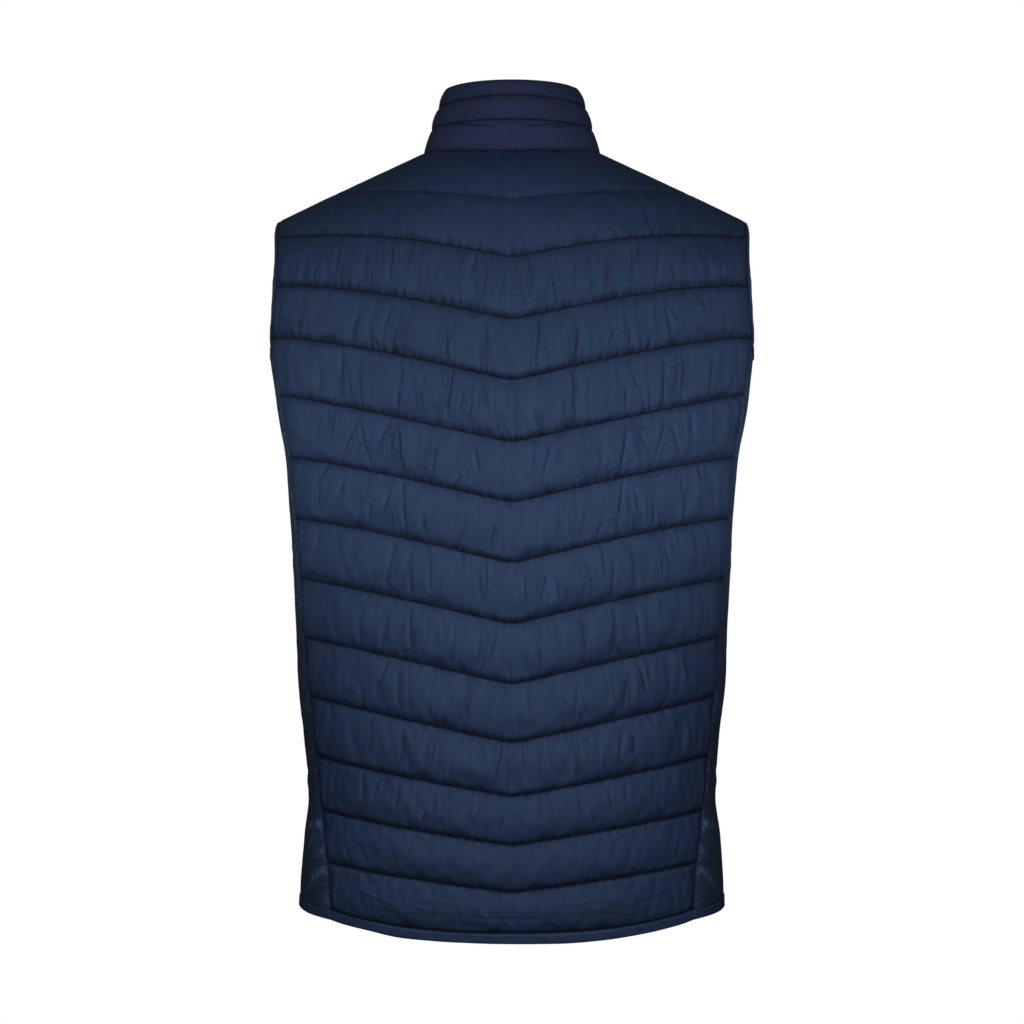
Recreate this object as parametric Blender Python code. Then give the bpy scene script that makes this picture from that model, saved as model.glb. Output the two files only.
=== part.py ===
"""Padded vest with a chevron-quilted back, plain side panels, quilted fronts, a stand collar and a front zip.

Metres, +Z up. The wearer faces -Y, so the back faces +Y and the wearer's left side is +X.
The origin is on the centre plane, level with the middle of the shoulders that carry the vest.
"""

import math
from collections import namedtuple

import bmesh
import bpy
from mathutils import Matrix, Vector

# Cloth and seams.
WALL = 0.003  # cloth at stitch lines, seams and plain panels
SEAM_GAP = 0.0003  # clear space where two pieces are sewn together
CHANNEL_ROWS = (0.0, 0.18, 0.5, 0.82)  # rows of points within one padded channel
PUFF_ROUNDNESS = 0.8  # under 1 gives a flatter top and steeper sides
FULL_CHANNEL = 0.035  # a channel lower than this puffs less
LEAST_CHANNEL = 0.008  # a stitch line nearer than this to the top edge runs into it
NEXT_TO_EDGE = 0.75  # share of the padding in the points beside a seam

# The inside of the cloth, level by level: half width at the sides and depth at the centre.
Section = namedtuple("Section", "height half_width back_depth front_depth")
SECTIONS = (
    Section(-0.680, 0.1965, 0.0930, 0.1120),
    Section(-0.636, 0.1942, 0.0985, 0.1115),
    Section(-0.600, 0.1915, 0.1020, 0.1105),
    Section(-0.567, 0.1872, 0.1045, 0.1095),
    Section(-0.514, 0.1908, 0.1070, 0.1090),
    Section(-0.460, 0.1960, 0.1095, 0.1090),
    Section(-0.400, 0.1984, 0.1125, 0.1105),
    Section(-0.326, 0.2025, 0.1165, 0.1145),
    Section(-0.250, 0.2085, 0.1195, 0.1190),
    Section(-0.195, 0.2175, 0.1205, 0.1205),
    Section(-0.158, 0.2224, 0.1202, 0.1195),
    Section(-0.145, 0.2250, 0.1198, 0.1186),
    Section(-0.093, 0.2390, 0.1165, 0.1120),
    Section(-0.050, 0.2425, 0.1080, 0.0985),
    Section(-0.010, 0.2430, 0.0920, 0.0880),
    Section(0.040, 0.2430, 0.0700, 0.0800),
)
SQUARENESS = 2.4  # 2 is an ellipse, more is squarer

# Half width to the outer edge of the back and of each front: side seam below the underarm, armhole above.
Edge = namedtuple("Edge", "height back front")
EDGES = (
    Edge(-0.680, 0.1620, 0.1620),
    Edge(-0.625, 0.1650, 0.1650),
    Edge(-0.577, 0.1708, 0.1708),
    Edge(-0.521, 0.1765, 0.1765),
    Edge(-0.470, 0.1820, 0.1820),
    Edge(-0.418, 0.1872, 0.1872),
    Edge(-0.358, 0.1918, 0.1918),
    Edge(-0.300, 0.1965, 0.1965),
    Edge(-0.250, 0.2015, 0.2015),
    Edge(-0.200, 0.2090, 0.2090),
    Edge(-0.165, 0.2142, 0.2142),
    Edge(-0.145, 0.2180, 0.2170),
    Edge(-0.125, 0.2150, 0.2030),
    Edge(-0.093, 0.2118, 0.1880),
    Edge(-0.060, 0.2122, 0.1925),
    Edge(-0.0315, 0.2145, 0.2145),
)

# Shoulders and neckline.
NECK_HALF_WIDTH = 0.0806
NECK_POINT_HEIGHT = 0.0312
SHOULDER_TIP_X = 0.2145
SHOULDER_SLOPE = 0.4675
SHOULDER_ROUND = 0.090  # height over which the back and fronts turn onto the shoulder
SHOULDER_SQUARENESS = 2.2
SEAM_CLIMB = 0.999999  # share of that height at which the shoulder seam lies
BACK_NECK_HEIGHT = 0.0262
FRONT_NECK_HEIGHT = -0.0400
NECK_CURVE = 1.55

# Hem seam.
HEM_BACK_HEIGHT = -0.6753
HEM_SIDE_HEIGHT = -0.6615
HEM_FRONT_HEIGHT = -0.6660

# Stitch lines from the hem up. The apex is on the centre line, rise is the climb to the side,
# flare above 1 flattens the outer end, loft is the padding of the channel under the line.
QuiltLine = namedtuple("QuiltLine", "apex rise flare loft")
QUILT_LINES = (
    QuiltLine(-0.6379, 0.0200, 1.00, 0.0050),
    QuiltLine(-0.5954, 0.0245, 1.00, 0.0062),
    QuiltLine(-0.5516, 0.0300, 1.00, 0.0066),
    QuiltLine(-0.5036, 0.0330, 1.00, 0.0070),
    QuiltLine(-0.4513, 0.0340, 1.00, 0.0070),
    QuiltLine(-0.3978, 0.0360, 1.00, 0.0070),
    QuiltLine(-0.3438, 0.0372, 1.00, 0.0070),
    QuiltLine(-0.2904, 0.0405, 1.00, 0.0070),
    QuiltLine(-0.2371, 0.0445, 1.00, 0.0070),
    QuiltLine(-0.1829, 0.0445, 1.15, 0.0070),
    QuiltLine(-0.1293, 0.0380, 1.90, 0.0066),
    QuiltLine(-0.0746, 0.0320, 2.60, 0.0060),
    QuiltLine(-0.0220, 0.0200, 4.00, 0.0050),
)
YOKE_LOFT = 0.0040  # padding of the channel under the collar and shoulders
APEX_ROUND = 0.035
UNDERARM_LINE = 9  # the side panels stop in the channel above this line, counted from the hem
UNDERARM_ROW = 3

# Columns of points.
NECK_COLUMNS = 6
NECK_CROWDING = 1.6
SHOULDER_COLUMNS = 8
SHOULDER_CROWDING = 0.85
SIDE_COLUMNS = 5
UNDERARM_DIP = 0.010
UNDERARM_DIP_CURVE = 8  # the dip fades out below the underarm edge

# Stand collar.
COLLAR_TOP_HALF_WIDTH = 0.0622
COLLAR_TOP_BACK = 0.0465
COLLAR_TOP_FRONT = -0.0880
COLLAR_TOP_HEIGHT = 0.0958
COLLAR_FRONT_HEIGHT = 0.0450
COLLAR_DROP_CURVE = 1.5
COLLAR_GAP = 0.0004  # the collar's edges are drawn back by this much
CollarLine = namedtuple("CollarLine", "share loft")
COLLAR_LINES = (
    CollarLine(0.0, 0.0),
    CollarLine(0.45, 0.0048),
    CollarLine(0.79, 0.0040),
    CollarLine(1.0, 0.0026),
)

# Armhole binding and hem band: widths from the cloth edge, and faces measured off the inside of the cloth.
BINDING_WIDTH = 0.0050
HEM_BAND_WIDTH = 0.0098
BAND_INSIDE = -0.0008
BAND_OUTSIDE = 0.0040
BAND_CORNER = 0.0014

# Zip.
FRONT_EDGE_X = 0.0065
TAPE_NEAR_X = 0.0034
TAPE_FAR_X = 0.0160
TAPE_THICKNESS = 0.0010
TAPE_CLEARANCE = 0.0012
CHAIN_HALF_WIDTH = 0.0029
CHAIN_BACK = -0.0024
CHAIN_FRONT = 0.0010
SLIDER_SHARE = 0.80  # place on the collar's front edge
SLIDER_HALF_WIDTH = 0.0045
SLIDER_HALF_LENGTH = 0.0060
SLIDER_BACK = 0.0017
SLIDER_FRONT = 0.0031
BAIL_HALF_WIDTH = 0.0016
BAIL_HALF_LENGTH = 0.0048
BAIL_HOLE_HALF_LENGTH = 0.0030
BAIL_HOLE_FRONT = 0.0055
BAIL_FRONT = 0.0068
PULL_AXIS_OUT = 0.0043
PULL_BAR = 0.0006
PULL_WINDOW_END = -0.0056
PULL_END = -0.0270
PULL_WINDOW_HALF_WIDTH = 0.0022
PULL_HALF_WIDTH = 0.0035

BODY_CENTRE = Vector((0.0, 0.0, -0.25))
CURVE_STEPS = 220
SAME_PLACE = 1e-6  # points nearer than this are one point

CLOTH_NAVY = (0.018, 0.027, 0.062, 1.0)
SIDE_NAVY = (0.014, 0.020, 0.044, 1.0)
TRIM_NAVY = (0.012, 0.018, 0.042, 1.0)
ZIP_NAVY = (0.010, 0.013, 0.030, 1.0)
CLOTH_ROUGHNESS = 0.5
ZIP_ROUGHNESS = 0.35


def smooth_column(rows, name):
    """A function of height that runs smoothly through one column of a table."""
    heights = [row.height for row in rows]
    values = [getattr(row, name) for row in rows]
    last = len(rows) - 1
    slopes = []
    for i in range(len(rows)):
        low, high = max(i - 1, 0), min(i + 1, last)
        slopes.append((values[high] - values[low]) / (heights[high] - heights[low]))

    def value(height):
        if height <= heights[0]:
            return values[0]
        if height >= heights[last]:
            return values[last]
        i = max(k for k in range(last) if heights[k] <= height)
        step = heights[i + 1] - heights[i]
        t = (height - heights[i]) / step
        start = (2 * t**3 - 3 * t**2 + 1) * values[i] + (t**3 - 2 * t**2 + t) * step * slopes[i]
        end = (3 * t**2 - 2 * t**3) * values[i + 1] + (t**3 - t**2) * step * slopes[i + 1]
        return start + end

    return value


half_width = smooth_column(SECTIONS, "half_width")
back_depth = smooth_column(SECTIONS, "back_depth")
front_depth = smooth_column(SECTIONS, "front_depth")

Panel = namedtuple("Panel", "side inner_x edge neck_height hem_height depth")
BACK = Panel(1, 0.0, smooth_column(EDGES, "back"), BACK_NECK_HEIGHT, HEM_BACK_HEIGHT, back_depth)
FRONT = Panel(
    -1, FRONT_EDGE_X, smooth_column(EDGES, "front"), FRONT_NECK_HEIGHT, HEM_FRONT_HEIGHT, front_depth
)
Sheet = namedtuple("Sheet", "points lofts inner_rows")


def shoulder_height(x):
    """The straight shoulder line, carried on across the neck as an arch."""
    if abs(x) >= NECK_HALF_WIDTH:
        return NECK_POINT_HEIGHT - (abs(x) - NECK_HALF_WIDTH) * SHOULDER_SLOPE
    arch = NECK_HALF_WIDTH / 2 * (1 - (x / NECK_HALF_WIDTH) ** 2)
    return NECK_POINT_HEIGHT + arch * SHOULDER_SLOPE


def top_height(panel, x):
    """Height of the neckline or the shoulder seam at this distance from the centre."""
    if abs(x) >= NECK_HALF_WIDTH:
        return shoulder_height(x)
    climb = (abs(x) / NECK_HALF_WIDTH) ** NECK_CURVE
    return panel.neck_height + (NECK_POINT_HEIGHT - panel.neck_height) * climb


def surface_point(panel, x, z):
    """The inside of a panel: a squared oval at each level, turned over onto the shoulder at the top."""
    across = min(abs(x) / half_width(z), 1.0)
    ring = (1 - across**SQUARENESS) ** (1 / SQUARENESS)
    climb = (z - shoulder_height(x) + SHOULDER_ROUND) / SHOULDER_ROUND
    climb = min(max(climb, 0.0), 1.0)
    crown = 0.0
    if climb < SEAM_CLIMB:
        crown = (1 - climb**SHOULDER_SQUARENESS) ** (1 / SHOULDER_SQUARENESS)
    return Vector((x, panel.side * panel.depth(z) * ring * crown, z))


def line_height(line, share):
    """Height of a stitch line at a share of the way from the centre to the side."""
    soft = (math.hypot(share, APEX_ROUND) - APEX_ROUND) / (math.hypot(1, APEX_ROUND) - APEX_ROUND)
    return line.apex + line.rise * (1 - (1 - soft) ** line.flare)


def column_levels(panel, share, top):
    """Heights of the hem, the stitch lines and the top edge along one column."""
    levels = [panel.hem_height + (HEM_SIDE_HEIGHT - panel.hem_height) * share**2]
    for line in QUILT_LINES:
        height = line_height(line, share)
        levels.append(height if top - height > LEAST_CHANNEL else top)
    return levels + [top]


def column_points(panel, top_x):
    """Points and padding from the hem to the top edge, along the column that ends at top_x."""
    share = (abs(top_x) - panel.inner_x) / (SHOULDER_TIP_X - panel.inner_x)
    hand = math.copysign(1, top_x)
    top = top_height(panel, top_x)
    levels = column_levels(panel, share, top)
    curve = []
    for step in range(CURVE_STEPS + 1):
        z = levels[0] + (top - levels[0]) * math.sin(math.pi / 2 * step / CURVE_STEPS)
        x = hand * (panel.inner_x + share * (panel.edge(z) - panel.inner_x))
        curve.append(surface_point(panel, x, z))
    run = [0.0]
    for low, high in zip(curve, curve[1:]):
        run.append(run[-1] + (high - low).length)
    marks = [run_at_height(curve, run, level) for level in levels]
    points, lofts = [], []
    for i, loft in enumerate([line.loft for line in QUILT_LINES] + [YOKE_LOFT]):
        reach = marks[i + 1] - marks[i]
        fullness = min(reach / FULL_CHANNEL, 1.0)
        for row in CHANNEL_ROWS:
            points.append(point_at_run(curve, run, marks[i] + row * reach))
            lofts.append(loft * fullness * math.sin(math.pi * row) ** PUFF_ROUNDNESS)
    return points + [curve[-1].copy()], lofts + [0.0]


def run_at_height(curve, run, height):
    for i in range(len(curve) - 1):
        low, high = curve[i].z, curve[i + 1].z
        if height <= high:
            return run[i] + (run[i + 1] - run[i]) * max(height - low, 0.0) / (high - low)
    return run[-1]


def point_at_run(curve, run, distance):
    for i in range(len(curve) - 1):
        if distance <= run[i + 1]:
            return curve[i].lerp(curve[i + 1], (distance - run[i]) / (run[i + 1] - run[i]))
    return curve[-1].copy()


def plain_inside_rows():
    """Rows that the inside of a panel keeps: the stitch lines up to the underarm, and every row above it."""
    per_channel = len(CHANNEL_ROWS)
    last = per_channel * (len(QUILT_LINES) + 1)
    low = [per_channel * i for i in range(UNDERARM_LINE)]
    return low + list(range(per_channel * UNDERARM_LINE, last + 1))


def underarm_row():
    return len(CHANNEL_ROWS) * UNDERARM_LINE + UNDERARM_ROW


def panel_sheet(panel, tops):
    columns = [column_points(panel, x) for x in tops]
    edge_columns = {0, len(tops) - 1}
    next_columns = {1, len(tops) - 2}
    points, lofts = [], []
    for i in range(len(columns[0][0])):
        points.append([column[0][i] for column in columns])
        row = []
        for j, column in enumerate(columns):
            keep = 0.0 if j in edge_columns else NEXT_TO_EDGE if j in next_columns else 1.0
            row.append(column[1][i] * keep)
        lofts.append(row)
    return Sheet(points, lofts, plain_inside_rows())


def column_tops(start):
    """Distances from the centre at which the columns meet the neckline and the shoulder seam."""
    turns = [1 - (1 - i / NECK_COLUMNS) ** NECK_CROWDING for i in range(NECK_COLUMNS)]
    neck = [start + (NECK_HALF_WIDTH - start) * turn for turn in turns]
    reach = SHOULDER_TIP_X - NECK_HALF_WIDTH
    steps = range(SHOULDER_COLUMNS + 1)
    return neck + [NECK_HALF_WIDTH + reach * (i / SHOULDER_COLUMNS) ** SHOULDER_CROWDING for i in steps]


def side_sheet(back_edge, front_edge):
    """The plain panel between a back side seam and a front side seam, with a dipped underarm edge."""
    points = []
    last = underarm_row()
    for i in range(last + 1):
        ends = [back_edge[i], front_edge[i]]
        angles = []
        for end in ends:
            angle = math.acos((end.x / half_width(end.z)) ** (SQUARENESS / 2))
            angles.append(math.copysign(angle, end.y))
        row = [back_edge[i].copy()]
        for j in range(1, SIDE_COLUMNS):
            share = j / SIDE_COLUMNS
            z = ends[0].z + (ends[1].z - ends[0].z) * share
            z -= UNDERARM_DIP * math.sin(math.pi * share) * (i / last) ** UNDERARM_DIP_CURVE
            angle = angles[0] + (angles[1] - angles[0]) * share
            depth = back_depth(z) if angle > 0 else front_depth(z)
            x = half_width(z) * math.cos(angle) ** (2 / SQUARENESS)
            y = math.copysign(depth * abs(math.sin(angle)) ** (2 / SQUARENESS), angle)
            row.append(Vector((x, y, z)))
        points.append(row + [front_edge[i].copy()])
    inner = [row for row in plain_inside_rows() if row <= last]
    return Sheet(points, [[0.0] * len(row) for row in points], inner)


def collar_sheet(base):
    """The stand collar, from the neckline points up to an oval top ring, left front edge to right."""
    centre_y = (COLLAR_TOP_BACK + COLLAR_TOP_FRONT) / 2
    depth = (COLLAR_TOP_BACK - COLLAR_TOP_FRONT) / 2
    base_back = max(point.y for point in base)
    base_front = min(point.y for point in base)
    base_centre, base_depth = (base_back + base_front) / 2, (base_back - base_front) / 2
    columns = []
    for point in base:
        angle = math.atan2((point.y - base_centre) / base_depth, point.x / NECK_HALF_WIDTH)
        forward = max(-math.sin(angle), 0.0) ** COLLAR_DROP_CURVE
        top = Vector((COLLAR_TOP_HALF_WIDTH * math.cos(angle), centre_y + depth * math.sin(angle), 0))
        if point in (base[0], base[-1]):
            top.x = point.x
        top.z = COLLAR_TOP_HEIGHT + (COLLAR_FRONT_HEIGHT - COLLAR_TOP_HEIGHT) * forward
        columns.append((point, top))
    points, lofts, lines = [], [], []
    for low, high in zip(COLLAR_LINES, COLLAR_LINES[1:]):
        lines.append(len(points))
        for row in CHANNEL_ROWS:
            share = low.share + (high.share - low.share) * row
            puff = high.loft * math.sin(math.pi * row) ** PUFF_ROUNDNESS
            points.append([start.lerp(end, share) for start, end in columns])
            lofts.append([0.0] + [puff] * (len(columns) - 2) + [0.0])
    lines.append(len(points))
    points.append([end.copy() for start, end in columns])
    lofts.append([0.0] * len(columns))
    return Sheet(points, lofts, lines)


def mirrored(sheet):
    points = [[Vector((-p.x, p.y, p.z)) for p in row] for row in sheet.points]
    return Sheet(points, sheet.lofts, sheet.inner_rows)


def key(point):
    return tuple(round(value / SAME_PLACE) for value in point)


def shared_normals(sheets):
    """Outward directions at every point, the same on both sides of a seam."""
    normals = {}
    for sheet in sheets:
        for low, high in zip(sheet.points, sheet.points[1:]):
            for j in range(len(low) - 1):
                corners = (low[j], low[j + 1], high[j + 1], high[j])
                face = (corners[2] - corners[0]).cross(corners[3] - corners[1])
                if face.dot(corners[0] - BODY_CENTRE) < 0:
                    face.negate()
                for corner in corners:
                    normals[key(corner)] = normals.get(key(corner), Vector()) + face
    return {place: normal.normalized() for place, normal in normals.items()}


def away_from_edge(before, point, after, normal, inside):
    """Direction along the cloth that leaves an edge at right angles, on the side of the inside point."""
    away = (after - before).cross(normal).normalized()
    return away if away.dot(inside - point) > 0 else -away


def distinct(points):
    """The points with any that repeat the one before left out."""
    kept = points[:1]
    for point in points[1:]:
        if key(point) != key(kept[-1]):
            kept.append(point)
    return kept


def edge_directions(edge, inside, normals):
    """For each point of an edge, the direction from it into the cloth."""
    last = len(edge) - 1
    directions = []
    for i, point in enumerate(edge):
        before, after = edge[max(i - 1, 0)], edge[min(i + 1, last)]
        directions.append(away_from_edge(before, point, after, normals[key(point)], inside[i]))
    return directions


def trimmed(sheet, normals, back):
    """The sheet's points with every edge drawn back by this much."""
    columns = [distinct(list(column)) for column in zip(*sheet.points)]
    edges = (
        ([column[0] for column in columns], [column[1] for column in columns]),
        ([column[-1] for column in columns], [column[-2] for column in columns]),
        (columns[0], [row[1] for row in distinct_rows(sheet.points, 0)]),
        (columns[-1], [row[-2] for row in distinct_rows(sheet.points, -1)]),
    )
    shifts = {}
    for edge, inside in edges:
        for point, inward in zip(edge, edge_directions(edge, inside, normals)):
            place = key(point)
            shifts[place] = shifts.get(place, Vector()) + inward * back
    return [[point + shifts.get(key(point), Vector()) for point in row] for row in sheet.points]


def distinct_rows(rows, column):
    """The rows whose point in this column differs from the row before."""
    kept = rows[:1]
    for row in rows[1:]:
        if key(row[column]) != key(kept[-1][column]):
            kept.append(row)
    return kept


def cloth_material(name, colour, roughness):
    material = bpy.data.materials.new(name)
    material.use_nodes = True
    shader = material.node_tree.nodes["Principled BSDF"]
    shader.inputs["Base Color"].default_value = colour
    shader.inputs["Roughness"].default_value = roughness
    return material


def add_object(name, bm, colour, roughness=CLOTH_ROUGHNESS):
    bmesh.ops.recalc_face_normals(bm, faces=bm.faces)
    mesh = bpy.data.meshes.new(name)
    bm.to_mesh(mesh)
    bm.free()
    mesh.materials.append(cloth_material(name, colour, roughness))
    obj = bpy.data.objects.new(name, mesh)
    bpy.context.scene.collection.objects.link(obj)
    return obj


class Shell:
    """Faces between points, where points in the same place are one vertex."""

    def __init__(self):
        self.bm = bmesh.new()
        self.vertices = {}

    def vertex(self, point):
        place = key(point)
        if place not in self.vertices:
            self.vertices[place] = self.bm.verts.new(point)
        return self.vertices[place]

    def face(self, points):
        corners = []
        for point in points:
            vertex = self.vertex(point)
            if vertex not in corners:
                corners.append(vertex)
        if len(corners) > 2:
            self.bm.faces.new(corners)

    def rim(self, inner, outer, seam):
        """Triangles across an edge, split the same way on both sides of its seam."""
        for j in range(len(seam) - 1):
            first, second = (j, j + 1) if key(seam[j]) < key(seam[j + 1]) else (j + 1, j)
            self.face((inner[first], inner[second], outer[second]))
            self.face((inner[first], outer[second], outer[first]))

    def skin(self, rows):
        """Triangles between rows of points, each four corners split along the shorter diagonal."""
        for low, high in zip(rows, rows[1:]):
            for j in range(len(low) - 1):
                a, b, c, d = low[j], low[j + 1], high[j + 1], high[j]
                if (c - a).length > (d - b).length:
                    a, b, c, d = b, c, d, a
                self.face((a, b, c))
                self.face((a, c, d))


def add_wall(name, sheet, normals, colour, back=SEAM_GAP / 2):
    """A closed cloth wall: a plain inside and a padded outside."""
    inside = trimmed(sheet, normals, back)
    outside = []
    for i, row in enumerate(inside):
        lift = [normals[key(p)] * (WALL + loft) for p, loft in zip(sheet.points[i], sheet.lofts[i])]
        outside.append([point + up for point, up in zip(row, lift)])
    shell = Shell()
    shell.skin(outside)
    shell.skin([inside[i] for i in sheet.inner_rows])
    for row in (0, len(inside) - 1):
        shell.rim(inside[row], outside[row], sheet.points[row])
    for low, high in zip(sheet.inner_rows, sheet.inner_rows[1:]):
        for j in (0, -1):
            for i in range(low, high):
                shell.face((inside[low][j], outside[i][j], outside[i + 1][j]))
            shell.face((inside[low][j], outside[high][j], inside[high][j]))
    return add_object(name, shell.bm, colour)


def band_profile(width):
    """Corners across a folded strip: distance from the cloth edge and height off the inside."""
    near, far = SEAM_GAP / 2, width
    return (
        (near, BAND_INSIDE),
        (far - BAND_CORNER, BAND_INSIDE),
        (far, BAND_INSIDE + BAND_CORNER),
        (far, BAND_OUTSIDE - BAND_CORNER),
        (far - BAND_CORNER, BAND_OUTSIDE),
        (near, BAND_OUTSIDE),
    )


def add_band(name, spine, away, normals, profile, colour, closed=False):
    """A strip swept along an edge of the cloth, each section set out from the edge point."""
    sections = []
    for point, out, normal in zip(spine, away, normals):
        sections.append([point + out * run + normal * rise for run, rise in profile])
    if not closed:
        for end, beside in ((0, 1), (-1, -2)):
            step = (spine[beside] - spine[end]).normalized() * SEAM_GAP / 2
            sections[end] = [corner + step for corner in sections[end]]
    shell = Shell()
    rings = [section + [section[0]] for section in sections]
    shell.skin(rings + [rings[0]] if closed else rings)
    if not closed:
        shell.face(sections[0])
        shell.face(sections[-1])
    return add_object(name, shell.bm, colour)


def hem_directions(sheets, normals):
    """The way down from each point of the hem seam, worked out along the whole hem."""
    spine, inside = [], []
    for sheet, reverse in sheets:
        step = -1 if reverse else 1
        spine += sheet.points[0][::step]
        inside += sheet.points[1][::step]
    kept = [i for i in range(len(spine)) if i == 0 or key(spine[i]) != key(spine[i - 1])]
    spine, inside = [spine[i] for i in kept], [inside[i] for i in kept]
    return {key(p): -inward for p, inward in zip(spine, edge_directions(spine, inside, normals))}


def add_hem(name, sheet, directions, normals):
    spine = sheet.points[0]
    away = [directions[key(point)] for point in spine]
    facing = [normals[key(point)] for point in spine]
    add_band(name, spine, away, facing, band_profile(HEM_BAND_WIDTH), TRIM_NAVY)


def add_binding(name, back_edge, side_top, front_edge, normals):
    """The folded strip round one armhole, up the back, over the shoulder and down the front."""
    loop = distinct(back_edge + front_edge[::-1] + side_top[::-1])[:-1]
    middle = sum(loop, Vector()) / len(loop)
    away = []
    for i, point in enumerate(loop):
        after = loop[(i + 1) % len(loop)]
        away.append(away_from_edge(loop[i - 1], point, after, normals[key(point)], middle))
    facing = [normals[key(point)] for point in loop]
    add_band(name, loop, away, facing, band_profile(BINDING_WIDTH), TRIM_NAVY, closed=True)


def along_row(row, x):
    """The point at distance x from the centre plane, on the line through a row's first two points."""
    first, second = row[0], row[1]
    return first.lerp(second, (x - first.x) / (second.x - first.x))


def add_zip(front, collar, normals):
    """Two tapes inside the front edges, the chain between them, the slider and its pull tab."""
    rows = [front.points[i] for i in front.inner_rows]
    rows += [collar.points[i] for i in collar.inner_rows[1:]]
    facing = [normals[key(row[0])] for row in rows]
    down = (rows[0][0] - rows[1][0]).normalized() * HEM_BAND_WIDTH
    rows.insert(0, [point + down for point in rows[0]])
    facing.insert(0, facing[0])
    facing = [Vector((0, normal.y, normal.z)).normalized() for normal in facing]
    for name, hand in (("zip_tape_left", 1), ("zip_tape_right", -1)):
        shell = Shell()
        layers = []
        for depth in (TAPE_CLEARANCE, TAPE_CLEARANCE + TAPE_THICKNESS):
            layer = []
            for row, normal in zip(rows, facing):
                ends = [along_row(row, x) - normal * depth for x in (TAPE_NEAR_X, TAPE_FAR_X)]
                layer.append([Vector((hand * end.x, end.y, end.z)) for end in ends])
            layers.append(layer)
        outer, inner = layers
        shell.skin([[o[0], o[1], i[1], i[0], o[0]] for o, i in zip(outer, inner)])
        for end in (0, -1):
            shell.face((outer[end][0], outer[end][1], inner[end][1], inner[end][0]))
        add_object(name, shell.bm, ZIP_NAVY)
    shell = Shell()
    rings = []
    for row, normal in zip(rows, facing):
        middle = along_row(row, 0.0)
        corners = (
            (-CHAIN_HALF_WIDTH, CHAIN_BACK),
            (CHAIN_HALF_WIDTH, CHAIN_BACK),
            (CHAIN_HALF_WIDTH, CHAIN_FRONT),
            (-CHAIN_HALF_WIDTH, CHAIN_FRONT),
        )
        ring = [middle + Vector((x, 0, 0)) + normal * out for x, out in corners]
        rings.append(ring + [ring[0]])
    shell.skin(rings)
    shell.face(rings[0][:-1])
    shell.face(rings[-1][:-1])
    add_object("zip_chain", shell.bm, ZIP_NAVY, ZIP_ROUGHNESS)
    low, high = along_row(collar.points[0], 0.0), along_row(collar.points[-1], 0.0)
    up = (high - low).normalized()
    out = up.cross(Vector((1, 0, 0)))
    out = out if out.y < 0 else -out
    add_slider(low.lerp(high, SLIDER_SHARE), up, out)


def extruded(outline, half_width):
    """A bmesh of an outline in the up and out directions, drawn out to both sides along X."""
    bm = bmesh.new()
    corners = [bm.verts.new((-half_width, up, out)) for up, out in outline]
    face = bm.faces.new(corners)
    drawn = bmesh.ops.extrude_face_region(bm, geom=[face])["geom"]
    moved = [item for item in drawn if isinstance(item, bmesh.types.BMVert)]
    bmesh.ops.translate(bm, verts=moved, vec=(2 * half_width, 0, 0))
    return bm


def add_slider(place, up, out):
    frame = Matrix((Vector((1, 0, 0)), up, out)).transposed().to_4x4()
    frame.translation = place
    plate = extruded(
        (
            (-SLIDER_HALF_LENGTH, SLIDER_BACK),
            (SLIDER_HALF_LENGTH, SLIDER_BACK),
            (SLIDER_HALF_LENGTH, SLIDER_FRONT),
            (-SLIDER_HALF_LENGTH, SLIDER_FRONT),
        ),
        SLIDER_HALF_WIDTH,
    )
    root = (SLIDER_BACK + SLIDER_FRONT) / 2
    bail = extruded(
        (
            (-BAIL_HALF_LENGTH, root),
            (-BAIL_HALF_LENGTH, BAIL_FRONT),
            (BAIL_HALF_LENGTH, BAIL_FRONT),
            (BAIL_HALF_LENGTH, root),
            (BAIL_HOLE_HALF_LENGTH, root),
            (BAIL_HOLE_HALF_LENGTH, BAIL_HOLE_FRONT),
            (-BAIL_HOLE_HALF_LENGTH, BAIL_HOLE_FRONT),
            (-BAIL_HOLE_HALF_LENGTH, root),
        ),
        BAIL_HALF_WIDTH,
    )
    for bm in (plate, bail):
        bmesh.ops.transform(bm, matrix=frame, verts=bm.verts)
    slider = add_object("zip_slider", plate, ZIP_NAVY, ZIP_ROUGHNESS)
    helper = add_object("slider_bail_helper", bail, ZIP_NAVY)
    helper.hide_render = True
    helper.display_type = "WIRE"
    join = slider.modifiers.new("bail", "BOOLEAN")
    join.operation = "UNION"
    join.solver = "EXACT"
    join.object = helper
    add_pull(place + out * PULL_AXIS_OUT)


def add_pull(axis):
    """A flat tab hanging from its top bar, which passes through the slider's bail."""
    across = (-PULL_HALF_WIDTH, -PULL_WINDOW_HALF_WIDTH, PULL_WINDOW_HALF_WIDTH, PULL_HALF_WIDTH)
    down = (PULL_BAR, -PULL_BAR, PULL_WINDOW_END, PULL_END)
    bm = bmesh.new()
    grid = [[bm.verts.new((x, -PULL_BAR, z)) for x in across] for z in down]
    for i in range(len(down) - 1):
        for j in range(len(across) - 1):
            if (i, j) != (1, 1):
                bm.faces.new((grid[i][j], grid[i][j + 1], grid[i + 1][j + 1], grid[i + 1][j]))
    drawn = bmesh.ops.extrude_face_region(bm, geom=bm.faces[:])["geom"]
    moved = [item for item in drawn if isinstance(item, bmesh.types.BMVert)]
    bmesh.ops.translate(bm, verts=moved, vec=(0, 2 * PULL_BAR, 0))
    pull = add_object("zip_pull", bm, ZIP_NAVY, ZIP_ROUGHNESS)
    pull.location = axis


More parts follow.
